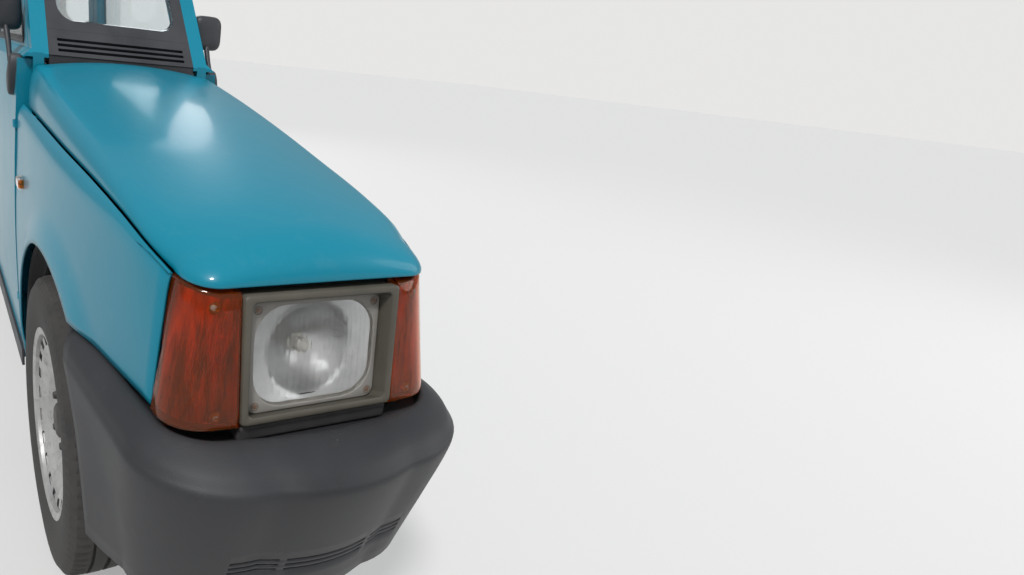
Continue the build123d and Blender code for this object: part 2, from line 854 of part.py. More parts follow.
def build_knuckles():
    station = front_axle_station
    top = boss_high + yoke_gap
    low = boss_low - yoke_gap
    web = block(
        yoke_web_in, yoke_web_out, station - yoke_half, station + yoke_half,
        low - yoke_plate, top + yoke_plate,
    )
    yoke = web
    for base in (top, low - yoke_plate):
        arm = block(kingpin_x, yoke_web_out, station - yoke_half, station + yoke_half, base, base + yoke_plate)
        yoke += arm + rod_z(yoke_half, kingpin_x, station, base, base + yoke_plate)
    yoke -= rod_z(kingpin_radius + seat_gap, kingpin_x, station, 0, above_all)
    spindle = rod_x(spindle_radius, yoke_web_out, hub_end, station, ground_to_axle)
    arm_x = kingpin_x
    arm = block(arm_x - 9, arm_x + 9, station + 14, station + steer_arm, low - yoke_plate, low)
    arm += rod_z(9, arm_x, station + steer_arm, low - yoke_plate, low)
    arm += rod_z(arm_pin, arm_x, station + steer_arm, low - 1, rack_height + rack_radius + 5)
    arm -= rod_z(kingpin_radius + seat_gap, kingpin_x, station, 0, above_all)
    knuckle = yoke + spindle + arm
    parts["knuckle_left"] = knuckle
    parts["knuckle_right"] = other_side(knuckle)


hub_end = wheel_x + disc_offset + 8
rack_height = wheel_radius - rack_drop
rack_housing_half = 58.0
rack_housing_skin = 6.0


def build_rack():
    station = front_axle_station + steer_arm
    bore = rack_radius + seat_gap
    outer = bore + rack_housing_skin
    half = rack_housing_half
    housing = rod_x(outer, -half, half, station, rack_height)
    housing += block(-20, 20, station - outer, station + outer, rack_height, spine_bottom - seat_gap)
    housing -= rod_x(bore, -half - 1, half + 1, station, rack_height)
    parts["rack_housing"] = housing
    drift = steer_arm * (1 - cos(radians(steer_limit)))
    eye = eye_radius
    ends = kingpin_x - eye / 2
    bar = rod_x(rack_radius, -ends, ends, station, rack_height)
    thick = rack_radius + 1.5
    bar = bar + both(rod_z(eye, kingpin_x, station, rack_height - thick, rack_height + thick))
    hole = rod_z(arm_pin + drift + 1, kingpin_x, station, 0, above_all)
    parts["rack_bar"] = bar - hole - other_side(hole)


def build_rear_axle():
    station = rear_axle_station
    inside = yoke_web_out
    height = spine_bottom - seat_gap - beam_bottom
    beam = block(
        -inside, inside, station - beam_half_depth, station + beam_half_depth,
        beam_bottom, beam_bottom + height,
    )
    beam += both(rod_x(spindle_radius, inside - 5, hub_end, station, ground_to_axle))
    parts["rear_axle"] = beam


# Wheels
def ring_of(profile):
    """Ring turned about the wheel's axle from (distance out from the wheel's middle, radius) points."""
    face = make_face(Polyline(*[(x, r, 0) for x, r in profile], close=True))
    return revolve(face, Axis.X)


def wheel_solids():
    """Rim and tyre of a left wheel, centred on the origin, outer face to +X."""
    edge = tyre_width / 2 - 8
    well = bead_radius - 20
    skin = barrel_skin
    barrel = ring_of([
        (-edge, flange_radius), (-edge + skin, flange_radius), (-edge + skin, bead_radius),
        (-edge + 25, bead_radius), (-edge + 34, well + skin), (10, well + skin), (26, bead_radius),
        (edge - skin, bead_radius), (edge - skin, flange_radius), (edge, flange_radius),
        (edge, bead_radius - skin), (30, bead_radius - skin), (14, well), (-edge + 30, well),
        (-edge + 20, bead_radius - skin), (-edge, bead_radius - skin),
    ])
    face = disc_offset
    disc = ring_of([
        (8, well + 2), (8, well - 6), (face - 6, slot_circle), (face + 4, 96), (face + 4, 80),
        (face - 6, 64), (face - 6, spindle_radius + seat_gap), (face - 1, spindle_radius + seat_gap),
        (face - 1, 62), (face + 9, 80), (face + 9, 98), (face - 1, slot_circle + 3), (14, well + 2),
    ])
    hub = ring_of([
        (-12, spindle_radius + seat_gap), (-12, hub_radius), (face - 4, hub_radius),
        (face - 4, spindle_radius + seat_gap),
    ])
    cap = ring_of([
        (face - 2, hub_radius - 6), (face - 2, hub_radius), (face + 12, hub_radius - 5),
        (face + 14, 0), (face + 10, 0), (face + 9, hub_radius - 10),
    ])
    for number in range(wheel_slots):
        angle = 360 / wheel_slots * number
        slot = Rot(0, 90, 0) * disc_slot(24, 9)
        disc -= Rot(angle, 0, 0) * Pos(0, 0, slot_circle + 8) * slot
    drum = ring_of([(-14, hub_radius - 3), (-14, 100), (face - 12, 100), (face - 12, 92), (-8, 92),
                    (-8, hub_radius - 3)])
    rim = barrel + disc + hub + cap + drum
    half = tyre_width / 2
    inner = bead_radius + seat_gap
    groove = 6
    crown = wheel_radius
    bead = edge - skin - seat_gap
    tyre = ring_of([
        (-bead, inner), (-bead, flange_radius + 3), (-half + 3, 200), (-half, 225),
        (-half + 4, 252), (-half + 14, crown - 4), (-34, crown - 1), (-34, crown - groove),
        (-28, crown - groove), (-28, crown), (-3, crown), (-3, crown - groove), (3, crown - groove),
        (3, crown), (28, crown), (28, crown - groove), (34, crown - groove), (34, crown - 1),
        (half - 14, crown - 4), (half - 4, 252), (half, 225), (half - 3, 200),
        (bead, flange_radius + 3), (bead, inner),
    ])
    return rim, tyre


def disc_slot(length, width):
    """Upright slot cutter for the wheel disc, long side along the rim."""
    return extrude(SlotOverall(length, width, rotation=90), amount=60, both=True)


def build_wheels():
    rim, tyre = wheel_solids()
    for end, station in (("front", front_axle_station), ("rear", rear_axle_station)):
        for side, sign in (("left", 1), ("right", -1)):
            for name, solid in (("rim", rim), ("tyre", tyre)):
                turned = solid if sign > 0 else mirror(solid, Plane.YZ)
                place = Pos(sign * wheel_x, at(station), ground_to_axle)
                parts[f"{name}_{end}_{side}"] = place * turned


# Nose panel and lamps
def lean(solid):
    """Leans a piece of the nose back about the lower front edge of the headlamp."""
    y = at(headlamp_station)
    return Pos(0, y, headlamp_bottom) * Rot(-lamp_lean, 0, 0) * Pos(0, -y, -headlamp_bottom) * solid


def above_lamp_foot(solid):
    return solid & block(-half_span, half_span, 0, 400, headlamp_bottom, above_all)


def build_nose():
    plate = block(
        -nose_half_width, nose_half_width, nose_station, nose_station + nose_skin, headlamp_bottom - 10,
        nose_top,
    )
    hole_half = reflector_radius + 8
    middle = headlamp_bottom + headlamp_height / 2
    plate -= block(-hole_half, hole_half, 0, 300, middle - hole_half, middle + hole_half)
    rail_half = nose_half_width - 8
    plate += block(-rail_half, rail_half, nose_station, nose_station + 40, nose_top - 12, nose_top)
    plate = above_lamp_foot(lean(plate))
    beam_top = nose_beam_top + seat_gap
    foot_top = headlamp_bottom + 12
    foot = block(-nose_foot_half, nose_foot_half, nose_foot_front, nose_foot_rear, beam_top, foot_top)
    foot -= lean(block(-half_span, half_span, 0, nose_station, headlamp_bottom - 30, above_all))
    parts["nose_panel"] = plate + foot


def rounded_block(half_width, z_low, z_high, station_low, station_high, radius):
    solid = block(-half_width, half_width, station_low, station_high, z_low, z_high)
    return fillet(solid.edges().filter_by(Axis.Y), radius)


def build_headlamp():
    low = headlamp_bottom
    high = low + headlamp_height
    back = nose_station - seat_gap
    frame = headlamp_frame
    body = rounded_block(headlamp_half_width, low, high, headlamp_station, back, 6)
    body -= rounded_block(
        headlamp_half_width - frame, low + frame, high - frame, headlamp_station - 1, back + 1, 10
    )
    middle = (low + high) / 2
    bowl = Pos(0, at(back - 3), middle) * (Rot(90, 0, 0) * Cylinder(reflector_radius + 4, 6))
    web = block(
        -headlamp_half_width + frame - 2, headlamp_half_width - frame + 2, back - 6, back,
        low + frame - 2, high - frame + 2,
    )
    cup = Pos(0, at(back + 20), middle) * (Rot(90, 0, 0) * Cylinder(reflector_radius + 4, 50))
    hollow = Pos(0, at(back - 3), middle) * (Rot(90, 0, 0) * Cone(reflector_radius - 22, reflector_radius, 80))
    body = body + web + cup - hollow
    parts["headlamp_body"] = above_lamp_foot(lean(body))
    inset = frame + glass_gap
    near = headlamp_station + lens_recess
    parts["headlamp_lens"] = lean(rounded_block(
        headlamp_half_width - inset, low + inset, high - inset, near, near + lens_skin, 9.5
    ))


def build_corner_lamps():
    end = 300.0
    outer = loft([bumper_face(row, 0, end) for row in corner_lamp_rows], ruled=True)
    inner = loft([bumper_face(row, corner_lamp_skin, end + 1) for row in corner_lamp_rows], ruled=True)
    room = block(0, nose_half_width + seat_gap, nose_station - seat_gap, 400, 0, above_all)
    lamp = outer - inner - lean(room)
    keep = [
        (0, corner_lamp_top),
        (bonnet_rows[0][0], corner_lamp_top),
        (lamp_rear_top - 4, corner_lamp_rear_top),
        (lamp_rear_bottom - 4, headlamp_bottom),
        (0, headlamp_bottom),
    ]
    in_x = headlamp_half_width + corner_lamp_gap
    lamp &= side_prism(keep, in_x, half_span)
    side = wing_rows[-1][1]
    low = repeater_height - 12
    repeater = block(side - 8, side + 9, repeater_station - 25, repeater_station + 25, low, low + 24)
    repeater = fillet(repeater.edges().filter_by(Axis.X), 8)
    repeater &= block(repeater_in, half_span, 0, overall_length, 0, above_all)
    parts["indicator_lamps"] = both(lamp) + both(repeater)


# Tail lamps
def tail_lamp_outline(grow):
    """Rear view outline of the left tail lamp, as (half-width, height) points."""
    return [
        (tail_lamp_in_bottom - grow, tail_lamp_bottom - grow),
        (tail_lamp_in_top - grow, tail_lamp_top + grow),
        (tail_lamp_out + grow, tail_lamp_top - tail_lamp_slant + grow),
        (tail_lamp_out + grow, tail_lamp_bottom - grow),
    ]


def rear_prism(points, station_low, station_high):
    """Outline of (x, height) points carried along the car."""
    outline = Polyline(*[(x, at(station_low), z) for x, z in points], close=True)
    return extrude(make_face(outline), amount=station_high - station_low, dir=(0, 1, 0))


def tail_lamp_space():
    return rear_prism(tail_lamp_outline(1.5), tail_lamp_front - seat_gap, overall_length)


def build_tail_lamps():
    lamp = rear_prism(tail_lamp_outline(0), tail_lamp_front, tail_lamp_back)
    corner = lamp.edges().filter_by(Axis.Z).sort_by(Axis.Y)[-2:].sort_by(Axis.X)[-1]
    lamp = fillet(corner, 30)
    parts["tail_lamps"] = both(lamp)


# Tailgate: one skin across the whole rear, between the lamps in its lower half
def build_tailgate():
    back = tail_crease[0]
    ledge = back + ledge_out
    turn = radians(tail_rise)
    slope_back = tailgate_skin / sin(turn)
    outline = [
        (tail_station(above_roof), above_roof), tail_crease, (back + 3, ledge_height + 5),
        (ledge, ledge_height - 3), (ledge - 6, tailgate_bottom), (back - tailgate_skin, tailgate_bottom),
        (back - tailgate_skin, tail_crease[1] - tailgate_skin / 2),
        (tail_station(above_roof) - slope_back, above_roof),
    ]
    slab = side_prism(outline, -half_span, half_span)
    ledge_keep = block(
        -sill_half_width, sill_half_width, back, overall_length, tailgate_bottom - 1, ledge_height + 6
    )
    reach = cabin_solid(0) + ledge_keep
    slab &= reach
    slab -= both(tail_lamp_room())
    parts["tailgate"] = slab - rear_window_plug(0)
    tailgate = parts["tailgate"]
    station, height = tail_pin()
    for side in (-1, 1):
        for end in (-1, 1):
            middle = side * tailgate_hinge_x + end * (tail_lug + 2 * seat_gap + 8) / 2
            lug = rod_x(tail_barrel, middle - 4, middle + 4, station, height)
            lug += block(middle - 4, middle + 4, station, station + 14, height - 3, height + 2)
            tailgate += lug
        span = tail_lug / 2 + 6
        tailgate += rod_x(
            hinge_pin_radius, side * tailgate_hinge_x - span, side * tailgate_hinge_x + span, station, height
        )
    room = tail_lug / 2 + seat_gap
    for side in (-1, 1):
        middle = side * tailgate_hinge_x
        cut = rod_x(tail_barrel + seat_gap, middle - room, middle + room, station, height)
        cut -= rod_x(hinge_pin_radius, middle - room, middle + room, station, height)
        tailgate -= cut
    parts["tailgate"] = tailgate
    seal_slab = side_prism(slope_band(-4, 22), -half_span, half_span)
    parts["rear_window_seal"] = (seal_slab & rear_window_plug(glass_gap)) - rear_window_plug(seal_width)
    glass_slab = side_prism(slope_band(6, 6 + pane), -half_span, half_span)
    parts["rear_glass"] = glass_slab & rear_window_plug(seal_width + glass_gap)


def tail_lamp_room():
    """Room round the left tail lamp, down past the tailgate's lower corner and out past the side."""
    gap = shut_gap
    outline = [
        (tail_lamp_in_bottom - gap, tailgate_bottom - 1),
        (tail_lamp_in_top - gap, tail_lamp_top + gap),
        (half_span, tail_lamp_top + gap),
        (half_span, tailgate_bottom - 1),
    ]
    return rear_prism(outline, tail_lamp_front - 60, overall_length + 50)


def slope_band(near, far):
    """Band between two depths under the tailgate's slope, in side view."""
    turn = radians(tail_rise)
    normal = (-sin(turn), -cos(turn))
    top = roof_height
    ends = [(tail_station(top), top), tail_crease]
    outline = [(s + near * normal[0], z + near * normal[1]) for s, z in ends]
    outline += [(s + far * normal[0], z + far * normal[1]) for s, z in reversed(ends)]
    return outline


def rear_window_plug(inset):
    """Upright rounded window of the tailgate, drawn in by an inset."""
    half = rear_window_half - inset
    low = rear_window_low + inset
    high = rear_window_high - inset
    solid = block(-half, half, rear_axle_station + 240, overall_length + 40, low, high)
    return fillet(solid.edges().filter_by(Axis.Y), half * 0.86)


# Mirrors
mirror_middle = (236.0, 1150.0, 973.0)
mirror_size = (72.0, 34.0, 80.0)
mirror_foot = (1056.0, 1114.0, 802.0, 886.0)
mirror_arm = (1086.0, 1102.0, 868.0)
mirror_arm_half = 7.0
mirror_arm_x = 233.0


def build_mirrors():
    x, station, height = mirror_middle
    head = Pos(x, at(station), height) * Box(*mirror_size)
    head = fillet(head.edges().filter_by(Axis.Y), 22)
    arm_front, arm_rear, arm_low = mirror_arm
    reach = station - arm_front
    arm_top = height - 20
    arm = side_prism(
        [(arm_front, arm_low), (arm_rear, arm_low), (arm_rear + reach, arm_top), (station - 8, arm_top)],
        mirror_arm_x - mirror_arm_half, mirror_arm_x + mirror_arm_half,
    )
    arm += block(216, mirror_arm_x + mirror_arm_half, arm_front, arm_rear, arm_low, arm_low + 16)
    front, rear, low, high = mirror_foot
    foot = block(212, 240, front, rear, low, high) & cabin_solid(-8)
    foot -= cabin_solid(-seat_gap)
    arm -= cabin_solid(-seat_gap)
    mirror_left = head + arm + foot
    parts["mirror_left"] = mirror_left
    parts["mirror_right"] = other_side(mirror_left)


# Inside: dashboard, steering column and wheel, seat, battery
column_angle = 38.0
wheel_centre = (1452.0, 842.0)
steering_radius = 150.0
steering_section = 11.0
column_radius = 22.0


def along_column(distance):
    """Station and height at a distance down the steering column from the wheel's centre."""
    turn = radians(column_angle)
    return wheel_centre[0] - distance * cos(turn), wheel_centre[1] - distance * sin(turn)


def on_column(solid, distance):
    """Places a solid that is built along +Z on the steering column, +Z towards the driver."""
    station, height = along_column(distance)
    return Pos(0, at(station), height) * Rot(column_angle - 90, 0, 0) * solid


def build_steering():
    ring = Torus(steering_radius, steering_section)
    hub = Cylinder(30, 26)
    spoke = Pos(steering_radius / 2, 0, 0) * Box(steering_radius, 30, 10)
    wheel = ring + hub + spoke + Rot(0, 0, 180) * spoke
    shaft = Pos(0, 0, -70) * Cylinder(9, 120)
    wheel = on_column(wheel + shaft, 0)
    parts["steering_wheel"] = wheel
    length = 300
    tube = Cylinder(column_radius, length) - Pos(0, 0, length / 2 - 45) * Cylinder(9 + seat_gap, 92)
    tube = on_column(tube, 40 + length / 2)
    parts["steering_column"] = tube


dash_half = 180.0
dash_rear = 1290.0
dash_low = 716.0
dash_top = 868.0


def build_dashboard():
    front = door_front - shut_gap + seat_gap
    outline = [
        (front, dash_low), (front, dash_top), (dash_rear - 60, dash_top), (dash_rear, dash_top - 40),
        (dash_rear - 20, dash_low),
    ]
    dash = side_prism(outline, -dash_half, dash_half)
    dash -= on_column(Cylinder(column_radius + seat_gap, 700), 200)
    parts["dashboard"] = dash


seat_half = 150.0
seat_rear = floor_rear - 230.0
seat_front = seat_rear - 470.0


def build_seat():
    floor = sill_bottom + floor_skin + seat_gap
    low = floor + 100 + seat_gap
    rear = seat_rear + 120
    frame = block(-seat_half + 20, seat_half - 20, seat_front + 30, rear, floor + 60, floor + 100)
    for x in (-110, 80):
        frame += block(x, x + 30, seat_front + 30, rear, floor, floor + 60)
    pan = Pos(0, 48 + seat_gap + 7, -120) * Box(2 * seat_half - 50, 14, 480)
    frame += Pos(0, at(seat_rear + 148), low + 325) * Rot(-14, 0, 0) * pan
    parts["seat_frame"] = frame
    cushion = block(-seat_half, seat_half, seat_front, seat_rear, low, low + 105)
    cushion = fillet(cushion.edges(), 18)
    parts["seat_cushion"] = cushion
    back = Box(2 * seat_half, 96, 600)
    back = fillet(back.edges(), 18)
    lean = Pos(0, at(seat_rear + 148), low + 105 + 220) * Rot(-14, 0, 0) * back
    parts["seat_back"] = lean


battery_ahead = 240.0
battery_behind = 300.0
battery_height = 220.0


def build_battery():
    low = spine_bottom + rear_spine_height + seat_gap
    block_half = tub_in - 6
    front = rear_axle_station - battery_ahead
    rear = rear_axle_station + battery_behind
    parts["battery_block"] = block(-block_half, block_half, front, rear, low, low + battery_height)


def build_sill_trims():
    low = sill_bottom + 2
    rear = rear_axle_station - arch_radius - 4
    trim = block(sill_half_width + seat_gap, sill_half_width + 6, door_front - 60, rear, low, door_bottom - 7)
    parts["sill_trims"] = both(trim)


builders = [
    build_doors, build_side_frames, build_roof, build_windscreen, build_scuttle, build_bonnet, build_wings,
    build_front_bumper, build_rear_bumper, build_frame, build_floor, build_liners, build_front_axle,
    build_knuckles, build_rack, build_rear_axle, build_wheels, build_nose, build_headlamp,
    build_corner_lamps, build_tail_lamps, build_tailgate, build_mirrors, build_steering, build_dashboard,
    build_seat, build_battery, build_sill_trims,
]
for build in builders:
    build()

for name, shape in parts.items():
    export_step(shape, f"parts/{name}.step")
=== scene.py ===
from math import atan2, cos, exp, hypot, pi, radians, sin, sqrt

import bmesh
import bpy
from mathutils import Matrix, Vector


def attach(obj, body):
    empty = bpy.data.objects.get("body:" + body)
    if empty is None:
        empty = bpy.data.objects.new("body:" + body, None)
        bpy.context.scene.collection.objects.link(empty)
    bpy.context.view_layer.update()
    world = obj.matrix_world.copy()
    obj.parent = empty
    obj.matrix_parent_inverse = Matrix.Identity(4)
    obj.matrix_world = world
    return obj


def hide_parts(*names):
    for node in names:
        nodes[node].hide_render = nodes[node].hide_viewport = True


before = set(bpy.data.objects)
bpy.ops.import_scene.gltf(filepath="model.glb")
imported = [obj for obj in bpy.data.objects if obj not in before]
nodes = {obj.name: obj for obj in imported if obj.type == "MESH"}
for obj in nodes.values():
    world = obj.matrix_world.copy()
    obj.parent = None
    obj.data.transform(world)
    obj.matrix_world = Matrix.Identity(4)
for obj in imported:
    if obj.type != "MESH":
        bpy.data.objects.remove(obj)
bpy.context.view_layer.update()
scene = bpy.context.scene
scene.view_settings.view_transform = "Standard"

# Sizes of the body in millimetres, as in the solids. A station is a distance behind the nose.
half_length = 1700.0
front_axle = 600.0
rear_axle = 2760.0
wheel_height = 270.0
arch_height = 280.0
arch_radius = 318.0
both_sides = ((1, "left"), (-1, "right"))


def place(x, station, z):
    """Point in metres from x, station and height in millimetres."""
    return Vector((x / 1000, (station - half_length) / 1000, z / 1000))


def clamp(value):
    return min(1, max(0, value))


def smooth(a, b, value):
    """Smooth step from 0 at a to 1 at b."""
    t = clamp((value - a) / (b - a))
    return t * t * (3 - 2 * t)


def lerp(a, b, t):
    return a + (b - a) * t


def bezier(a, b, c, t):
    return a * (1 - t) ** 2 + b * 2 * t * (1 - t) + c * t * t


def circle(count):
    """Cosines and sines of evenly spaced angles round a full turn."""
    return [(cos(2 * pi * i / count), sin(2 * pi * i / count)) for i in range(count)]


def arc(first, last, steps):
    """Cosines and sines of evenly spaced angles between two, in degrees."""
    angles = [radians(lerp(first, last, i / steps)) for i in range(steps + 1)]
    return [(cos(angle), sin(angle)) for angle in angles]


def signed_power(value, power):
    """Value raised to a power with its sign kept. Below 1, it squares a circle's sides."""
    return abs(value) ** power * (1 if value >= 0 else -1)


def curve_through(rows, s):
    """Values of rows at s, on a smooth line through them. Each row starts with its own s."""
    if s <= rows[0][0]:
        return list(rows[0][1:])
    if s >= rows[-1][0]:
        return list(rows[-1][1:])
    i = max(k for k in range(len(rows) - 1) if rows[k][0] <= s)
    p1, p2 = rows[i], rows[i + 1]
    p0 = rows[i - 1] if i > 0 else p1
    p3 = rows[i + 2] if i + 2 < len(rows) else p2
    span = p2[0] - p1[0]
    t = (s - p1[0]) / span
    values = []
    for k in range(1, len(p1)):
        middle = (p2[k] - p1[k]) / span
        first = (p1[k] - p0[k]) / (p1[0] - p0[0]) if p0 is not p1 else middle
        last = (p3[k] - p2[k]) / (p3[0] - p2[0]) if p3 is not p2 else middle
        m1 = (first + middle) / 2 * span
        m2 = (middle + last) / 2 * span
        h = t * t * (3 - 2 * t)
        values.append(
            p1[k] * (1 - h) + p2[k] * h + m1 * (t ** 3 - 2 * t * t + t) + m2 * (t ** 3 - t * t)
        )
    return values


# Materials
class Tree:
    """Node tree of a material or a world, with short calls to add and link nodes."""

    def __init__(self, owner):
        owner.use_nodes = True
        self.tree = owner.node_tree
        self.tree.nodes.clear()

    def add(self, kind, **settings):
        node = self.tree.nodes.new(kind)
        for key, value in settings.items():
            setattr(node, key, value)
        return node

    def link(self, source, output, target, socket):
        self.tree.links.new(source.outputs[output], target.inputs[socket])

    def ramp(self, source, stops, output=0):
        """Colour ramp through stops of spot and colour."""
        node = self.add("ShaderNodeValToRGB")
        while len(node.color_ramp.elements) < len(stops):
            node.color_ramp.elements.new(0.5)
        for element, (spot, colour) in zip(node.color_ramp.elements, stops):
            element.position = spot
            element.color = (*colour, 1.0)
        self.link(source, output, node, "Fac")
        return node


class Surface(Tree):
    """Material with one shader. Its textures lie in the object's coordinates, their value on output 0."""

    def __init__(self, name):
        self.material = bpy.data.materials.new(name)
        super().__init__(self.material)
        out = self.add("ShaderNodeOutputMaterial")
        self.shader = self.add("ShaderNodeBsdfPrincipled")
        self.link(self.shader, "BSDF", out, "Surface")
        self.coords = None

    def set(self, **values):
        for key, value in values.items():
            self.shader.inputs[key.replace("_", " ")].default_value = value

    def texture(self, kind, scale, stretch=None):
        node = self.add(kind)
        node.inputs["Scale"].default_value = scale
        if self.coords is None:
            self.coords = self.add("ShaderNodeTexCoord")
        if stretch is None:
            self.link(self.coords, "Object", node, "Vector")
            return node
        mapping = self.add("ShaderNodeMapping")
        mapping.inputs["Scale"].default_value = stretch
        self.link(self.coords, "Object", mapping, "Vector")
        self.link(mapping, "Vector", node, "Vector")
        return node

    def noise(self, scale, detail=4.0, roughness=0.5, stretch=None):
        node = self.texture("ShaderNodeTexNoise", scale, stretch)
        node.inputs["Detail"].default_value = detail
        node.inputs["Roughness"].default_value = roughness
        return node

    def voronoi(self, scale):
        return self.texture("ShaderNodeTexVoronoi", scale)

    def colour(self, source, output=0):
        self.link(source, output, self.shader, "Base Color")

    def mix(self, factor, first, second, blend="MIX"):
        """Colours the surface with a mix of two colours. Each value is a node or plain numbers."""
        node = self.add("ShaderNodeMix", data_type="RGBA", blend_type=blend)
        for socket, value in ((0, factor), (6, first), (7, second)):
            if hasattr(value, "outputs"):
                self.link(value, 0, node, socket)
            else:
                node.inputs[socket].default_value = value if socket == 0 else (*value, 1.0)
        self.colour(node, 2)

    def roughness(self, source, low, high):
        """Roughness from low to high over the middle of a noise's range."""
        node = self.add("ShaderNodeMapRange")
        for socket, value in (("From Min", 0.3), ("From Max", 0.7), ("To Min", low), ("To Max", high)):
            node.inputs[socket].default_value = value
        self.link(source, 0, node, "Value")
        self.link(node, "Result", self.shader, "Roughness")

    def bump(self, source, strength, distance, after=None):
        node = self.add("ShaderNodeBump")
        node.inputs["Strength"].default_value = strength
        node.inputs["Distance"].default_value = distance
        self.link(source, 0, node, "Height")
        if after is not None:
            self.link(after, "Normal", node, "Normal")
        self.link(node, "Normal", self.shader, "Normal")
        return node


def body_paint(name):
    n = Surface(name)
    fade = n.noise(2.2, 3.0)
    base = n.ramp(fade, [(0.3, (0.0015, 0.205, 0.305)), (0.7, (0.003, 0.235, 0.340))])
    dust = n.noise(38.0, 8.0, 0.62)
    spots = n.ramp(dust, [(0.56, (0, 0, 0)), (0.8, (0.16, 0.16, 0.16))])
    n.mix(spots, base, (0.10, 0.30, 0.36))
    n.roughness(fade, 0.30, 0.42)
    n.bump(n.noise(170.0, 2.0), 0.05, 0.0006)
    n.set(Coat_Weight=0.30, Coat_Roughness=0.10, Specular_IOR_Level=0.25)
    return n.material


def bumper_plastic(name):
    n = Surface(name)
    cloud = n.noise(5.0, 5.0, 0.6)
    base = n.ramp(cloud, [(0.3, (0.024, 0.0245, 0.027)), (0.72, (0.038, 0.0385, 0.042))])
    scuff = n.noise(46.0, 9.0, 0.7, (1.0, 1.0, 0.35))
    marks = n.ramp(scuff, [(0.6, (0, 0, 0)), (0.78, (0.25, 0.25, 0.25))])
    n.mix(marks, base, (0.09, 0.088, 0.085))
    n.roughness(cloud, 0.46, 0.6)
    fine = n.bump(n.voronoi(780.0), 0.35, 0.0004)
    n.bump(scuff, 0.12, 0.0006, fine)
    n.set(Specular_IOR_Level=0.42)
    return n.material


def plain_plastic(name, dark, light, low, high, grain=620.0, strength=0.25):
    n = Surface(name)
    cloud = n.noise(9.0, 5.0, 0.6)
    n.colour(n.ramp(cloud, [(0.3, dark), (0.72, light)]))
    n.roughness(cloud, low, high)
    n.bump(n.voronoi(grain), strength, 0.0004)
    return n.material


def glass(name, tint, roughness=0.02):
    n = Surface(name)
    smear = n.noise(7.0, 6.0, 0.6)
    n.colour(n.ramp(smear, [(0.3, tint), (0.75, tuple(c * 0.97 for c in tint))]))
    n.roughness(smear, roughness, roughness + 0.05)
    n.set(Transmission_Weight=1.0, IOR=1.12, Specular_IOR_Level=1.0, Coat_Weight=0.6, Coat_Roughness=0.03)
    return n.material


def lens(name, deep, bright, transmission, roughness=0.12):
    """Coloured lamp glass with a little sun fading and dust in its face."""
    n = Surface(name)
    cloud = n.noise(14.0, 4.0)
    n.colour(n.ramp(cloud, [(0.3, deep), (0.7, bright)]))
    n.roughness(cloud, roughness, roughness + 0.1)
    n.bump(n.noise(60.0, 3.0), 0.05, 0.0008)
    n.set(Transmission_Weight=transmission, IOR=1.25, Coat_Weight=0.3, Coat_Roughness=0.08)
    return n.material


def amber_with_painted_rib_light(name):
    """Amber lamp wall whose colour holds painted light and shade: dark and bright upright streaks that stand
    for the light and shade its ribs throw.
    """
    n = Surface(name)
    streaks = n.noise(70.0, 4.0, 0.6, (1.0, 1.0, 0.05))
    # Painted light and shade: the streak colours run from near black to bright orange, as the ribs' shade and
    # glow would.
    painted_rib_light_and_shade = [(0.36, (0.08, 0.022, 0.006)), (0.5, (0.36, 0.075, 0.008)), (0.66, (0.80, 0.24, 0.02))]
    n.colour(n.ramp(streaks, painted_rib_light_and_shade))
    n.roughness(streaks, 0.2, 0.4)
    n.bump(streaks, 0.3, 0.001)
    n.set(Transmission_Weight=0.25, IOR=1.3)
    return n.material


def rubber(name, dark, light, low, high):
    n = Surface(name)
    cloud = n.noise(24.0, 6.0, 0.65)
    n.colour(n.ramp(cloud, [(0.3, dark), (0.75, light)]))
    n.roughness(cloud, low, high)
    n.bump(n.noise(420.0, 4.0, 0.6), 0.2, 0.0005)
    return n.material


def metal(name, dark, light, metallic, low, high, dirt, amount):
    n = Surface(name)
    base = n.ramp(n.noise(16.0, 6.0, 0.6), [(0.3, dark), (0.7, light)])
    grime = n.noise(55.0, 9.0, 0.7)
    spots = n.ramp(grime, [(0.52, (0, 0, 0)), (0.75, (amount, amount, amount))])
    n.mix(spots, base, dirt)
    n.roughness(grime, low, high)
    n.bump(grime, 0.12, 0.0006)
    n.set(Metallic=metallic)
    return n.material


def fabric(name, dark, light):
    n = Surface(name)
    weave = 900.0
    base = n.ramp(n.noise(7.0, 5.0, 0.6), [(0.3, dark), (0.72, light)])
    fibre = n.noise(weave, 3.0, 0.6, (1.0, 0.35, 1.0))
    tone = n.ramp(fibre, [(0.35, (0.62, 0.62, 0.62)), (0.65, (1, 1, 1))])
    n.mix(0.6, base, tone, "MULTIPLY")
    first = n.bump(n.voronoi(weave * 0.55), 0.45, 0.0008)
    n.bump(fibre, 0.3, 0.0005, first)
    n.set(Roughness=0.92, Sheen_Weight=0.35, Sheen_Roughness=0.5)
    return n.material


materials = {}
brown_dust = (0.13, 0.11, 0.09)
frame_rust = (0.10, 0.07, 0.05)
axle_rust = (0.12, 0.07, 0.04)
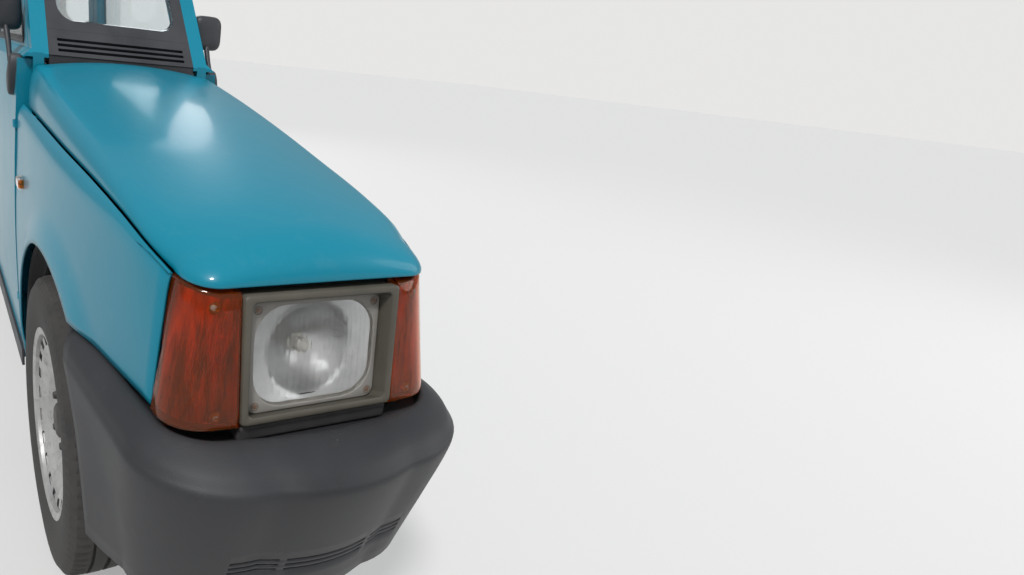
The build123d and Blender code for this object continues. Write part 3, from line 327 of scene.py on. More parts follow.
# Name, maker and the maker's values: most often a dark and a light tone, then roughness from low to high
finishes = (
    ("body_paint", body_paint),
    ("bumper_plastic", bumper_plastic),
    ("trim_plastic", plain_plastic, (0.030, 0.031, 0.035), (0.050, 0.051, 0.057), 0.42, 0.6),
    ("glass", glass, (0.90, 0.94, 0.95)),
    ("rubber", rubber, (0.036, 0.034, 0.036), (0.060, 0.057, 0.058), 0.46, 0.62),
    ("tyre_rubber", rubber, (0.030, 0.028, 0.027), (0.062, 0.058, 0.054), 0.72, 0.9),
    ("wheel_steel", metal, (0.36, 0.355, 0.345), (0.52, 0.515, 0.50), 0.45, 0.36, 0.55, brown_dust, 0.6),
    ("frame_steel", metal, (0.016, 0.016, 0.017), (0.030, 0.030, 0.031), 0.2, 0.5, 0.75, frame_rust, 0.35),
    ("lamp_body", plain_plastic, (0.23, 0.225, 0.20), (0.30, 0.29, 0.26), 0.35, 0.5, 500.0, 0.1),
    ("clear_lens", glass, (0.93, 0.93, 0.91), 0.16),
    ("amber_lens", lens, (0.66, 0.150, 0.010), (0.78, 0.190, 0.012), 0.93, 0.03),
    # The ribbed amber wall's colour holds painted light and shade in its streaks
    ("amber_deep", amber_with_painted_rib_light),
    ("lamp_dark", plain_plastic, (0.13, 0.075, 0.05), (0.24, 0.15, 0.10), 0.35, 0.5, 400.0, 0.1),
    ("lamp_olive", plain_plastic, (0.070, 0.064, 0.049), (0.112, 0.102, 0.080), 0.42, 0.6, 500.0, 0.12),
    ("lamp_grey", plain_plastic, (0.24, 0.225, 0.205), (0.34, 0.325, 0.30), 0.35, 0.5, 500.0, 0.08),
    ("reflector", metal, (0.40, 0.41, 0.42), (0.60, 0.61, 0.62), 0.85, 0.26, 0.4, (0.30, 0.28, 0.25), 0.25),
    ("bulb_glass", plain_plastic, (0.42, 0.41, 0.38), (0.62, 0.60, 0.55), 0.15, 0.3, 300.0, 0.05),
    ("pale_lens", lens, (0.42, 0.39, 0.36), (0.55, 0.52, 0.48), 0.4),
    ("red_deep", lens, (0.085, 0.010, 0.010), (0.13, 0.016, 0.014), 0.3),
    ("mirror_silver", metal, (0.62, 0.64, 0.66), (0.74, 0.76, 0.78), 1.0, 0.03, 0.08, (0.4, 0.4, 0.4), 0.1),
    ("red_lens", lens, (0.30, 0.010, 0.009), (0.38, 0.018, 0.014), 0.35),
    ("seat_fabric", fabric, (0.045, 0.050, 0.060), (0.075, 0.080, 0.092)),
    ("cabin_trim", plain_plastic, (0.055, 0.056, 0.060), (0.080, 0.081, 0.086), 0.6, 0.8, 520.0, 0.4),
    ("floor_steel", rubber, (0.022, 0.022, 0.023), (0.040, 0.040, 0.041), 0.8, 0.95),
    ("axle_steel", metal, (0.05, 0.048, 0.045), (0.10, 0.095, 0.088), 0.6, 0.45, 0.7, axle_rust, 0.45),
    ("battery_case", plain_plastic, (0.018, 0.020, 0.024), (0.030, 0.032, 0.037), 0.4, 0.55, 300.0, 0.2),
)


def make_materials():
    for name, maker, *values in finishes:
        materials[name] = maker(name, *values)


def dress_solids():
    """Gives each carried-over solid its material."""
    for item in nodes.values():
        for holder in item.material_slots:
            name = holder.material.name.split(".")[0]
            if name in materials:
                holder.material = materials[name]


# Pieces
def new_mesh(name, shape):
    points, faces = shape
    mesh = bpy.data.meshes.new(name)
    mesh.from_pydata([tuple(p) for p in points], [], faces)
    return mesh


def from_mesh(name, mesh, body, finish, slot, sharp):
    """Piece from a mesh, riding on a body. Edges above the angle sharp stay sharp, or all where it is 0."""
    item = bpy.data.objects.new(name, mesh)
    scene.collection.objects.link(item)
    mesh.materials.append(materials[finish])
    if sharp:
        mesh.shade_smooth()
        mesh.set_sharp_from_angle(angle=radians(sharp))
    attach(item, body)
    return item


def piece(name, shape, body, finish, slot, sharp, flip=False, node=None):
    """Piece from points in metres and faces. It stands for the solid that node names."""
    points, faces = shape
    if flip:
        faces = [tuple(reversed(face)) for face in faces]
    mesh = new_mesh(name, (points, faces))
    mesh.validate()
    item = from_mesh(name, mesh, body, finish, slot, sharp)
    if node:
        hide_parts(node)
    return item


def grid(rows, closed_rows=False, closed_columns=False, skip=()):
    """Points and faces of a grid of rows of points."""
    count = len(rows)
    width = len(rows[0])
    points = [p for row in rows for p in row]
    faces = []
    for i in range(count if closed_rows else count - 1):
        for j in range(width if closed_columns else width - 1):
            if (i, j) in skip:
                continue
            after = (j + 1) % width
            above = (i + 1) % count * width
            faces.append((i * width + j, i * width + after, above + after, above + j))
    return points, faces


def join_lists(groups):
    """One list of points and faces from several."""
    points = []
    faces = []
    for some_points, some_faces in groups:
        start = len(points)
        points.extend(some_points)
        faces.extend(tuple(i + start for i in face) for face in some_faces)
    return points, faces


def lathe(profile, steps, to_world):
    """Closed ring turned from (distance along the axle, radius) points."""
    rows = [[to_world(a, r * c, r * s) for a, r in profile] for c, s in circle(steps)]
    return grid(rows, closed_rows=True)


def dome(profile, steps, point, skip=()):
    """Open skin of rings. The point comes from a profile row's two values and an angle's cosine and sine."""
    rows = [[point(a, b, c, s) for c, s in circle(steps)] for a, b in profile]
    return grid(rows, closed_columns=True, skip=skip)


def spin(profile, steps, to_world, skip=()):
    """Open skin turned from (distance along the axle, radius) points."""
    return dome(profile, steps, lambda a, r, c, s: to_world(a, r * c, r * s), skip)


def box_at(low, high):
    """Points and faces of a straight block between two corners."""
    points = [
        Vector((x, y, z)) for x in (low[0], high[0]) for y in (low[1], high[1]) for z in (low[2], high[2])
    ]
    faces = [(0, 1, 3, 2), (4, 6, 7, 5), (0, 4, 5, 1), (2, 3, 7, 6), (0, 2, 6, 4), (1, 5, 7, 3)]
    return points, faces


def thicken(item, depth, offset=-1.0, even=True):
    shell = item.modifiers.new("Thickness", "SOLIDIFY")
    shell.thickness = depth
    shell.offset = offset
    shell.use_even_offset = even


def soften(item, width, steps=2, angle=50.0):
    bevel = item.modifiers.new("Rounding", "BEVEL")
    bevel.width = width
    bevel.segments = steps
    bevel.limit_method = "ANGLE"
    bevel.angle_limit = radians(angle)


# Camera, with its angles in degrees
focal_length = 22.53
sensor_width = 36.0
frame_shift = 0.25
camera_place = (-0.3914, -2.1541, 0.9393)
camera_yaw = 27.7
camera_pitch = 19.97
camera_roll = 6.19


def make_camera():
    yaw, pitch, roll = radians(camera_yaw), radians(camera_pitch), radians(camera_roll)
    ahead = Vector((sin(yaw) * cos(pitch), cos(yaw) * cos(pitch), -sin(pitch)))
    right = Vector((cos(yaw), -sin(yaw), 0))
    upward = right.cross(ahead)
    turned_right = right * cos(roll) + upward * sin(roll)
    turned_up = upward * cos(roll) - right * sin(roll)
    data = bpy.data.cameras.new("camera")
    data.lens = focal_length
    data.sensor_width = sensor_width
    data.shift_x = frame_shift
    camera = bpy.data.objects.new("camera", data)
    turn = Matrix((turned_right, turned_up, -ahead)).transposed().to_4x4()
    camera.matrix_world = Matrix.Translation(camera_place) @ turn
    scene.collection.objects.link(camera)
    scene.camera = camera


# Floor, world and lamps
def pale(name, colour, strength):
    """Material that camera, glossy and transmission rays see as a plain pale tone, with shadows kept."""
    n = Surface(name)
    n.set(Base_Color=colour, Roughness=0.9, Specular_IOR_Level=0.1, Emission_Color=(1, 1, 1, 1))
    path = n.add("ShaderNodeLightPath")
    first = n.add("ShaderNodeMath", operation="MAXIMUM")
    second = n.add("ShaderNodeMath", operation="MAXIMUM")
    scale = n.add("ShaderNodeMath", operation="MULTIPLY")
    scale.inputs[1].default_value = strength
    n.link(path, "Is Camera Ray", first, 0)
    n.link(path, "Is Glossy Ray", first, 1)
    n.link(first, 0, second, 0)
    n.link(path, "Is Transmission Ray", second, 1)
    n.link(second, 0, scale, 0)
    n.link(scale, 0, n.shader, "Emission Strength")
    return n.material


def make_stage():
    size = 60.0
    corners = [(-size, -size, 0), (size, -size, 0), (size, size, 0), (-size, size, 0)]
    mesh = new_mesh("floor", (corners, [(0, 1, 2, 3)]))
    floor = bpy.data.objects.new("floor", mesh)
    mesh.materials.append(pale("floor_tone", (0.42, 0.415, 0.405, 1), 0.33))
    scene.collection.objects.link(floor)


def make_light():
    """World that the camera sees as a plain tone and that lights with a soft rise to blue, and lamps."""
    world = bpy.data.worlds.new("studio")
    scene.world = world
    n = Tree(world)
    out = n.add("ShaderNodeOutputWorld")
    soft = n.add("ShaderNodeBackground")
    seen = n.add("ShaderNodeBackground")
    blend = n.add("ShaderNodeMixShader")
    path = n.add("ShaderNodeLightPath")
    both = n.add("ShaderNodeMath", operation="MAXIMUM")
    coords = n.add("ShaderNodeTexCoord")
    split = n.add("ShaderNodeSeparateXYZ")
    n.link(coords, "Generated", split, 0)
    rise = n.ramp(split, [(0.0, (0.40, 0.40, 0.39)), (0.55, (0.72, 0.76, 0.80))], "Z")
    n.link(rise, "Color", soft, "Color")
    soft.inputs["Strength"].default_value = 0.62
    seen.inputs["Color"].default_value = (0.80, 0.795, 0.785, 1)
    seen.inputs["Strength"].default_value = 1.0
    n.link(path, "Is Camera Ray", both, 0)
    n.link(path, "Is Transmission Ray", both, 1)
    n.link(both, 0, blend, "Fac")
    n.link(soft, 0, blend, 1)
    n.link(seen, 0, blend, 2)
    n.link(blend, 0, out, "Surface")
    sun("sun", (-2.6, -2.4, 4.6), 2.3, 9.0)
    lamp("fill", (4.6, -3.4, 2.6), (0, -0.4, 0.6), 3.4, 60)
    lamp("back", (1.4, 5.4, 3.4), (0, 0.6, 0.8), 3.0, 70)


def sun(name, toward, strength, width):
    """Far lamp shining from a direction, with soft shadows."""
    data = bpy.data.lights.new(name, "SUN")
    data.energy = strength
    data.angle = radians(width)
    item = bpy.data.objects.new(name, data)
    item.rotation_euler = Vector(toward).to_track_quat("Z", "Y").to_euler()
    scene.collection.objects.link(item)


def lamp(name, spot, target, size, power):
    data = bpy.data.lights.new(name, "AREA")
    data.shape = "DISK"
    data.size = size
    data.energy = power
    item = bpy.data.objects.new(name, data)
    item.location = spot
    item.rotation_euler = (Vector(target) - Vector(spot)).to_track_quat("-Z", "Y").to_euler()
    scene.collection.objects.link(item)


# Bonnet. Columns: station, half-width and height of the lower edge of its side, height of the crown and
# fall of the top from the crown to the side
bonnet_rows = [
    (122.0, 159.0, 703.0, 744.0, 29.0),
    (156.0, 159.0, 704.0, 752.0, 29.0),
    (180.0, 164.0, 707.0, 758.5, 29.5),
    (220.0, 176.0, 720.0, 769.0, 29.5),
    (300.0, 185.0, 736.0, 786.0, 31.0),
    (430.0, 193.0, 750.0, 809.0, 33.0),
    (600.0, 203.0, 764.0, 836.0, 32.0),
    (800.0, 209.0, 778.0, 863.0, 27.0),
    (1004.0, 208.0, 785.0, 888.0, 21.0),
]
nose_roll = 58.0
side_roll = 40.0
side_roll_behind = 22.0
roll_power = 2.3
roll_steps = 9
long_steps = 34
corner_steps = 12
across_steps = 12
weld_gap = 0.00002


def bonnet_roll(station):
    """Width over which the bonnet's top rolls down into its side."""
    return lerp(side_roll, side_roll_behind, smooth(170, 420, station))


def bonnet_point(x, station, r, edge_x, edge_station):
    """Point of the bonnet, with r 1 at its edge and 0 where the roll starts."""
    half, _, crown, fall = curve_through(bonnet_rows, station)
    top = crown - fall * (x / half) ** 2
    half_e, low, crown_e, fall_e = curve_through(bonnet_rows, edge_station)
    drop = crown_e - fall_e * (edge_x / half_e) ** 2 - low
    return place(x, station, top - drop * (1 - (1 - r ** roll_power) ** (1 / roll_power)))


def bonnet_stations():
    """Stations of the bonnet's long sides, from its rear edge to where its nose rolls down."""
    rear = bonnet_rows[-1][0]
    nose = bonnet_rows[0][0] + nose_roll
    return [rear - (rear - nose) * (i / long_steps) ** 0.9 for i in range(long_steps + 1)]


def bonnet_rim(r):
    """Row of bonnet points at one step of the roll, from its right rear round the nose."""
    first = bonnet_rows[0][0]
    nose = first + nose_roll
    half_row = []
    for s in bonnet_stations():
        half = curve_through(bonnet_rows, s)[0]
        half_row.append((half - bonnet_roll(s) * (1 - r), s, half, s))
    wide = bonnet_roll(nose)
    inner = curve_through(bonnet_rows, nose)[0] - wide
    for i in range(1, corner_steps):
        angle = pi / 2 * i / corner_steps
        far_x = inner + wide * cos(angle)
        far_s = nose - nose_roll * sin(angle)
        half_row.append((lerp(inner, far_x, r), lerp(nose, far_s, r), far_x, far_s))
    for i in range(across_steps + 1):
        x = inner * (1 - i / across_steps)
        half_row.append((x, first + nose_roll * (1 - r), x, first))
    right = [bonnet_point(-x, s, r, ex, es) for x, s, ex, es in half_row]
    left = [bonnet_point(x, s, r, ex, es) for x, s, ex, es in half_row]
    return right + list(reversed(left[:-1]))


def make_bonnet():
    levels = [cos(pi / 2 * i / roll_steps) for i in range(roll_steps)] + [0.0]
    top = []
    for s in bonnet_stations():
        half = curve_through(bonnet_rows, s)[0] - bonnet_roll(s)
        columns = range(2 * across_steps + 1)
        top.append([bonnet_point(half * (i / across_steps - 1), s, 0, 0, s) for i in columns])
    mesh = new_mesh("bonnet_panel", join_lists([grid([bonnet_rim(r) for r in levels]), grid(top)]))
    work = bmesh.new()
    work.from_mesh(mesh)
    bmesh.ops.remove_doubles(work, verts=work.verts, dist=weld_gap)
    bmesh.ops.dissolve_degenerate(work, dist=weld_gap, edges=work.edges)
    bmesh.ops.recalc_face_normals(work, faces=work.faces)
    if sum(face.normal.z * face.calc_area() for face in work.faces) < 0:
        bmesh.ops.reverse_faces(work, faces=work.faces)
    work.to_mesh(mesh)
    work.free()
    item = from_mesh("bonnet_panel", mesh, "bonnet", "body_paint", "body_paint", 50)
    thicken(item, 0.008)
    soften(item, 0.0018)
    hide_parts("bonnet")


# Front wings. Columns: station, half-widths of the side, the shoulder and the inner top edge, heights
# of that edge and of the shoulder
wing_rows = [
    (155.0, 184.0, 170.0, 166.0, 704.0, 694.0),
    (220.0, 194.0, 186.0, 181.0, 722.0, 711.0),
    (300.0, 208.0, 197.0, 190.0, 738.0, 727.0),
    (430.0, 227.0, 210.0, 198.0, 752.0, 741.0),
    (600.0, 240.0, 222.0, 208.0, 766.0, 755.0),
    (800.0, 240.0, 228.0, 214.0, 780.0, 768.0),
    (1038.0, 236.0, 227.0, 214.0, 788.0, 777.0),
]
wing_front = 170.0
wing_nose_end = 400.0
wing_bottom = 241.0
wing_waist = 520.0
wing_tuck = 5.0
wing_nose_steps = 12
wing_arch_steps = 34
wing_sill_steps = 8
wing_flank_steps = 18
wing_turn_steps = 7
shoulder_soft = 22.0
bumper_top = 546.0
flare_width = 64.0
flare_out = 9.0
flare_start = 236.0
flare_full = 340.0


def wing_low(station):
    """Height of the wing's lower edge: the bumper's top, the wheel arch, then the sill."""
    ahead = station - front_axle
    if abs(ahead) >= arch_radius - 0.01:
        return bumper_top if ahead < 0 else wing_bottom
    arch = arch_height + sqrt(arch_radius ** 2 - ahead ** 2)
    return max(bumper_top, arch) if ahead < 0 else arch


def wing_section(station, low):
    """Outer section of a wing from its lower edge to its inner top edge, as (x, height) points."""
    side, shoulder_half, inner, edge, shoulder = curve_through(wing_rows, station)
    profile = [(wing_bottom, side - wing_tuck), (wing_waist, side), (shoulder, shoulder_half)]
    points = []
    for i in range(wing_flank_steps + 1):
        z = lerp(low, shoulder - shoulder_soft, i / wing_flank_steps)
        x = curve_through(profile, z)[0]
        away = hypot(station - front_axle, z - arch_height) - arch_radius
        x += flare_out * (1 - smooth(0, flare_width, away)) * smooth(flare_start, flare_full, z)
        points.append((x, z))
    last = points[-1]
    share = min(0.85, shoulder_soft / hypot(shoulder_half - inner, edge - shoulder))
    end = (lerp(shoulder_half, inner, share), lerp(shoulder, edge, share))
    for i in range(1, wing_turn_steps + 1):
        t = i / wing_turn_steps
        points.append((bezier(last[0], shoulder_half, end[0], t), bezier(last[1], shoulder, end[1], t)))
    points += [(lerp(end[0], inner, 0.6), lerp(end[1], edge, 0.6)), (inner, edge)]
    points += [(inner - 0.8, edge - 1 - 11 * smooth(200, 290, station))]
    return points


def make_wings():
    stations = [lerp(wing_front, wing_nose_end, i / wing_nose_steps) for i in range(wing_nose_steps + 1)]
    arch_start = front_axle - sqrt(arch_radius ** 2 - (bumper_top - arch_height) ** 2)
    stations.append(arch_start - 10)
    first = pi - atan2(bumper_top - arch_height, front_axle - arch_start)
    for i in range(wing_arch_steps + 1):
        stations.append(front_axle + arch_radius * cos(lerp(first, 0, i / wing_arch_steps)))
    arch_end = len(stations) - 1
    for i in range(wing_sill_steps + 1):
        stations.append(lerp(front_axle + arch_radius + 1, wing_rows[-1][0], i / wing_sill_steps))
    lows = [wing_low(station) for station in stations]
    lows[arch_end] = arch_height
    for sign, side in both_sides:
        rows = [
            [place(sign * x, station, z) for x, z in wing_section(station, low)]
            for station, low in zip(stations, lows)
        ]
        item = piece(
            f"wing_{side}", grid(rows), "chassis", "body_paint", "body_paint", 45, sign > 0, "front_wings"
        )
        thicken(item, 0.004, even=False)


# Bumpers. Columns: distance up the profile, height, half-width at the corner and at the rear, station of
# the middle of the front, corner radius, bow
bumper_rows = [
    (0, 318.0, 204.0, 233.0, 52.0, 120.0, 18.0),
    (115, 430.0, 221.0, 242.0, 20.0, 132.0, 18.0),
    (192, 502.0, 227.6, 247.4, 0.8, 137.6, 18.0),
    (198, 508.0, 228.0, 248.0, 0.0, 138.0, 18.0),
    (203, 512.0, 225.6, 246.6, 4.6, 135.6, 18.0),
    (221, 523.5, 219.0, 243.0, 17.0, 127.0, 17.5),
    (240, 533.0, 207.0, 235.0, 35.0, 111.0, 16.5),
    (268, 540.5, 189.0, 219.0, 64.0, 76.0, 14.0),
    (280, 538.0, 183.0, 212.0, 74.0, 70.0, 12.0),
    (300, 522.0, 180.0, 208.0, 78.0, 66.0, 12.0),
    (340, 521.0, 150.0, 190.0, 124.0, 36.0, 6.0),
]
low_levels = [0.0, 20, 40]
high_levels = [
    96, 115, 135, 155, 172, 184, 192, 199, 204, 208, 213, 218, 223, 229, 238, 250, 260, 268, 275, 280, 290,
    300, 320, 340,
]
side_steps = 10
turn_steps = 16
column_pitch = 12.0
skirt_drop = 40.0
slot_groups = ((-121.0, -63.0), (-55.0, 55.0), (63.0, 121.0))
slot_low = 374.0
slot_pitch = 9.0
slot_height = 5.0
slot_count = 3


def bumper_across(row, x):
    """Station of the bumper's front at x, from its corner arc and bowed front."""
    half, _, front, radius, bow = row
    inner = half - radius
    ahead = front + bow * (min(abs(x), inner) / inner) ** 2
    if abs(x) > inner:
        ahead += radius - sqrt(max(0.0, radius ** 2 - (abs(x) - inner) ** 2))
    return ahead


def bumper_ring(row, marks, end):
    """Points (x, station) of a bumper's plan from its left rear round to its right rear."""
    half, rear_half, front, radius, bow = row
    turn_end = front + bow + radius
    steps = [t / side_steps for t in range(side_steps)]
    side = [(lerp(rear_half, half, t), lerp(end, turn_end, t)) for t in steps]
    turn = []
    reach = max(marks)
    for i in range(turn_steps):
        angle = lerp(0, pi / 2, i / turn_steps)
        x = half - radius + radius * cos(angle)
        if x < reach + 3:
            break
        turn.append((x, turn_end - radius * sin(angle)))
    while len(turn) < turn_steps:
        x = lerp(turn[-1][0], reach, 0.5)
        turn.append((x, bumper_across(row, x)))
    left = side + turn
    return left + [(x, bumper_across(row, x)) for x in marks] + [(-x, s) for x, s in reversed(left)]


def bumper_marks():
    """Columns across the bumper's front, from its left, with one at each end of a slot."""
    edges = [x for group in slot_groups for x in group]
    marks = [edges[-1]]
    for a, b in zip(edges, edges[1:]):
        steps = round((b - a) / column_pitch)
        marks += [lerp(a, b, i / steps) for i in range(steps)]
    return sorted(marks, reverse=True)


def bumper_levels():
    """Distances up the profile of the bumper's rows, with the slots' edges among them."""
    foot, middle = bumper_rows[:2]
    edges = []
    for number in range(slot_count):
        z = slot_low + number * slot_pitch
        edges += [z, z + slot_height]
    return low_levels + [(z - foot[1]) * middle[0] / (middle[1] - foot[1]) for z in edges] + high_levels


def bumper_skirt(level, station):
    """Drop of the front bumper's lower edge towards the wheel."""
    return skirt_drop * smooth(30, 285, station) * max(0.0, 1 - level / bumper_rows[1][0])


def slot_faces(marks):
    """Faces left out of the front bumper for its slots."""
    start = side_steps + turn_steps
    skip = set()
    for j in range(len(marks) - 1):
        if any(a - 0.01 <= marks[j + 1] and marks[j] <= b + 0.01 for a, b in slot_groups):
            skip.update((len(low_levels) + 2 * number, start + j) for number in range(slot_count))
    return skip


def make_bumper(name, node, at_front):
    marks = bumper_marks()
    axle = front_axle if at_front else 2 * half_length - rear_axle
    rows = []
    for level in bumper_levels():
        z, *row = curve_through(bumper_rows, level)
        end = axle - sqrt(max(0.0, arch_radius ** 2 - (z - arch_height) ** 2))
        ring = bumper_ring(row, marks, end)
        if at_front:
            rows.append([place(x, s, z - bumper_skirt(level, s)) for x, s in ring])
        else:
            rows.append([place(x, 2 * half_length - s, z) for x, s in ring])
    shape = grid(rows, skip=slot_faces(marks) if at_front else ())
    item = piece(name, shape, "chassis", "bumper_plastic", "bumper_plastic", 60, at_front, node)
    thicken(item, 0.007)


# Corner lamps. Columns: height, half-widths at the corner and at the rear, station of the front, corner
# radius, bow
lamp_rows = [
    (545.0, 184.0, 193.4, 93.8, 51.3, 8.0),
    (712.0, 163.5, 173.0, 117.5, 62.0, 8.0),
]
lamp_inner = 105.0
lamp_bottom = 546.0
lamp_top = 692.0
lamp_rear_rise = 8.0
lamp_rear = 165.0
lamp_line_end = 450.0
lens_depth = 26.0
screw_x = 132.0


def lamp_path(z, depth, steps=40, rib=0.0):
    """Plan line (x, station) of a corner lamp at a height, set in by depth, from its inner end outward."""
    row = curve_through(lamp_rows, z)
    half, rear_half, front, radius, bow = row
    inner = half - radius
    start = front + bow + radius
    fronts = steps // 3
    turns = steps // 2
    rears = steps - fronts - turns
    line = []
    for i in range(fronts):
        x = lerp(lamp_inner, inner, i / fronts)
        line.append((x, bumper_across(row, x), 0.0, -1.0))
    for i in range(turns):
        angle = pi / 2 * i / turns
        x = inner + radius * sin(angle)
        line.append((x, front + bow + radius * (1 - cos(angle)), sin(angle), -cos(angle)))
    for i in range(rears + 1):
        s = lerp(start, lamp_rear, i / rears)
        x = lerp(half, rear_half, (s - start) / (lamp_line_end - start))
        line.append((x, s, 1.0, -0.03))
    insets = [depth + rib * (i % 2) for i in range(len(line))]
    return [(x - nx * inset, s - ns * inset) for inset, (x, s, nx, ns) in zip(insets, line)]


def lamp_height(z, station):
    """Height of a lamp point, its top edge rising towards the rear."""
    share = (z - lamp_bottom) / (lamp_top - lamp_bottom)
    return z + share * lamp_rear_rise * smooth(110, lamp_rear, station)


def lamp_wall(sign, depth, low, high, levels, steps=40, rib=0.0):
    rows = []
    for i in range(levels + 1):
        z = lerp(low, high, i / levels)
        rows.append([place(sign * x, s, lamp_height(z, s)) for x, s in lamp_path(z, depth, steps, rib)])
    return rows


def make_corner_lamps():
    """Amber cover, ribbed wall behind it with painted light and shade in its streaked colour, and dark back
    wall of each corner lamp.
    """
    for sign, side in both_sides:
        under = [
            [place(sign * x, s, lamp_bottom - 2) for x, s in lamp_path(lamp_bottom, depth)]
            for depth in (lens_depth, 9.0, 3.0)
        ]
        over = [
            [place(sign * x, s, lamp_height(lamp_top, s) + 1.5) for x, s in lamp_path(lamp_top, depth)]
            for depth in (3.0, 9.0, lens_depth)
        ]
        cover = under + lamp_wall(sign, 0.0, lamp_bottom, lamp_top, 10) + over
        ribs = lamp_wall(sign, 5.0, lamp_bottom + 5, lamp_top - 5, 2, 96, 2.2)
        back = lamp_wall(sign, lens_depth - 2, lamp_bottom, lamp_top, 4)
        for part, rows, finish, slot, sharp, depth, node in (
            ("cover", cover, "amber_lens", "amber_lens", 50, 0.0025, "indicator_lamps"),
            ("ribs", ribs, "amber_deep", "amber_lens", 30, 0.002, None),
            ("back", back, "lamp_dark", "lamp_body", 40, 0.003, "indicator_lamps"),
        ):
            item = piece(f"lamp_{part}_{side}", grid(rows), "chassis", finish, slot, sharp, sign > 0, node)
            thicken(item, depth, even=False)
        make_lamp_screws(sign, side)


def make_lamp_screws(sign, side):
    groups = []
    for z in (680.0, 558.0):
        middle = place(sign * screw_x, bumper_across(curve_through(lamp_rows, z), screw_x), z)
        groups.append(turned([(-1.6, 0.0), (-1.6, 4.4), (0.4, 6.8), (2.4, 7.4), (2.4, 0.0)], 20, middle))
        groups.append(turned([(-0.6, 0.0), (-2.6, 2.2), (-2.2, 3.6), (-0.4, 3.9)], 16, middle))
    piece(f"lamp_screws_{side}", join_lists(groups), "chassis", "lamp_dark", "lamp_body", 35)


def turned(profile, steps, middle, tilt=0.0):
    """Ring facing forward about a point. Profile rows are (distance back, radius) in millimetres."""
    lean = radians(tilt)

    def to_world(depth, across, up):
        y = depth * cos(lean) + up * sin(lean)
        z = up * cos(lean) - depth * sin(lean)
        return middle + Vector((across, y, z)) / 1000

    return lathe(profile, steps, to_world)


# Headlamp. An outline is its half-width and the heights of its foot and top above the lamp's foot. A row
# of rings is an outline, insets from its sides, foot and top, corner radius and depth
headlamp_lean = 8.0
headlamp_foot = (94.0, 545.0)
unit_depth = 18.0
unit_half, unit_low, unit_high = (88.0, 6.0, 140.0)
surround_outline = (103.0, 1.0, 152.0)
unit_outline = (unit_half, unit_low, unit_high)
surround_rings = (
    (surround_outline, 0, 0, 0, 5, 40),
    (surround_outline, 0, 0, 0, 5, 2),
    (surround_outline, 1, 1, 1, 5, 0.4),
    (surround_outline, 2.5, 2.5, 2.5, 5, 0),
    (surround_outline, 7.5, 7, 7, 6, 0),
    (surround_outline, 9, 8.5, 8.5, 7, 1.5),
    (unit_outline, -1.5, -1, -1.5, 9, unit_depth + 3),
    (unit_outline, 6, 6, 6, 9, unit_depth + 5),
)
unit_rings = (
    (unit_outline, 0, 0, 0, 11, unit_depth + 8),
    (unit_outline, 0, 0, 0, 11, unit_depth + 2),
    (unit_outline, 0.8, 0.8, 0.8, 11, unit_depth + 0.6),
    (unit_outline, 2.4, 2.4, 2.4, 10, unit_depth),
    (unit_outline, 5.5, 5, 5, 40, unit_depth),
    (unit_outline, 6.5, 6, 6, 40, unit_depth + 1.2),
    (unit_outline, 7.5, 7, 7, 40, unit_depth + 9),
)
screw_inset = 9.5
bowl_radius = 57.0
bowl_rim = 33.5
bowl_deep = 38.0
bulb_profile = (
    (58, 0.0), (58, 11.0), (50, 11.5), (49, 8.0), (40, 7.6), (38, 9.2), (33, 9.2), (31, 7.0), (27, 4.5),
    (26, 0.0),
)


def on_headlamp(x, up, depth):
    """Point in metres on the headlamp's leaning plane: across, up it and behind it."""
    lean = radians(headlamp_lean)
    station = headlamp_foot[0] + up * sin(lean) + depth * cos(lean)
    z = headlamp_foot[1] + up * cos(lean) - depth * sin(lean)
    return place(x, station, z)


def rounded_frame(outline, at_sides, at_foot, at_top, radius, depth, steps=6):
    """Closed line of a rounded rectangle on the headlamp's plane."""
    x = outline[0] - at_sides - radius
    low = outline[1] + at_foot + radius
    high = outline[2] - at_top - radius
    line = []
    for corner, (cx, cy) in enumerate(((x, high), (-x, high), (-x, low), (x, low))):
        for i in range(steps + 1):
            angle = pi / 2 * corner + pi / 2 * i / steps
            line.append(on_headlamp(cx + radius * cos(angle), cy + radius * sin(angle), depth))
    return line


def make_headlamp():
    for name, rings, finish, sharp in (
        ("headlamp_surround", surround_rings, "lamp_olive", 40),
        ("headlamp_unit", unit_rings, "lamp_grey", 35),
    ):
        shape = grid([rounded_frame(*ring) for ring in rings], closed_columns=True)
        piece(name, shape, "chassis", finish, "lamp_body", sharp, node="headlamp_body")
    groups = []
    for x, height in ((-1, unit_high - screw_inset), (1, unit_high - screw_inset),
                      (-1, unit_low + screw_inset), (1, unit_low + screw_inset)):
        middle = on_headlamp(x * (unit_half - screw_inset), height, unit_depth)
        for profile, steps in (
            ([(-0.4, 5.0), (-0.8, 4.4), (1.2, 4.0), (1.2, 0.0)], 20),
            ([(0.6, 3.2), (-0.4, 2.8), (-0.8, 1.2), (-0.8, 0.0)], 16),
        ):
            groups.append(turned(profile, steps, middle, headlamp_lean))
    shape = join_lists(groups)
    piece("headlamp_screws", shape, "chassis", "lamp_dark", "lamp_body", 35, node="headlamp_body")
    make_headlamp_glass()
    make_reflector()


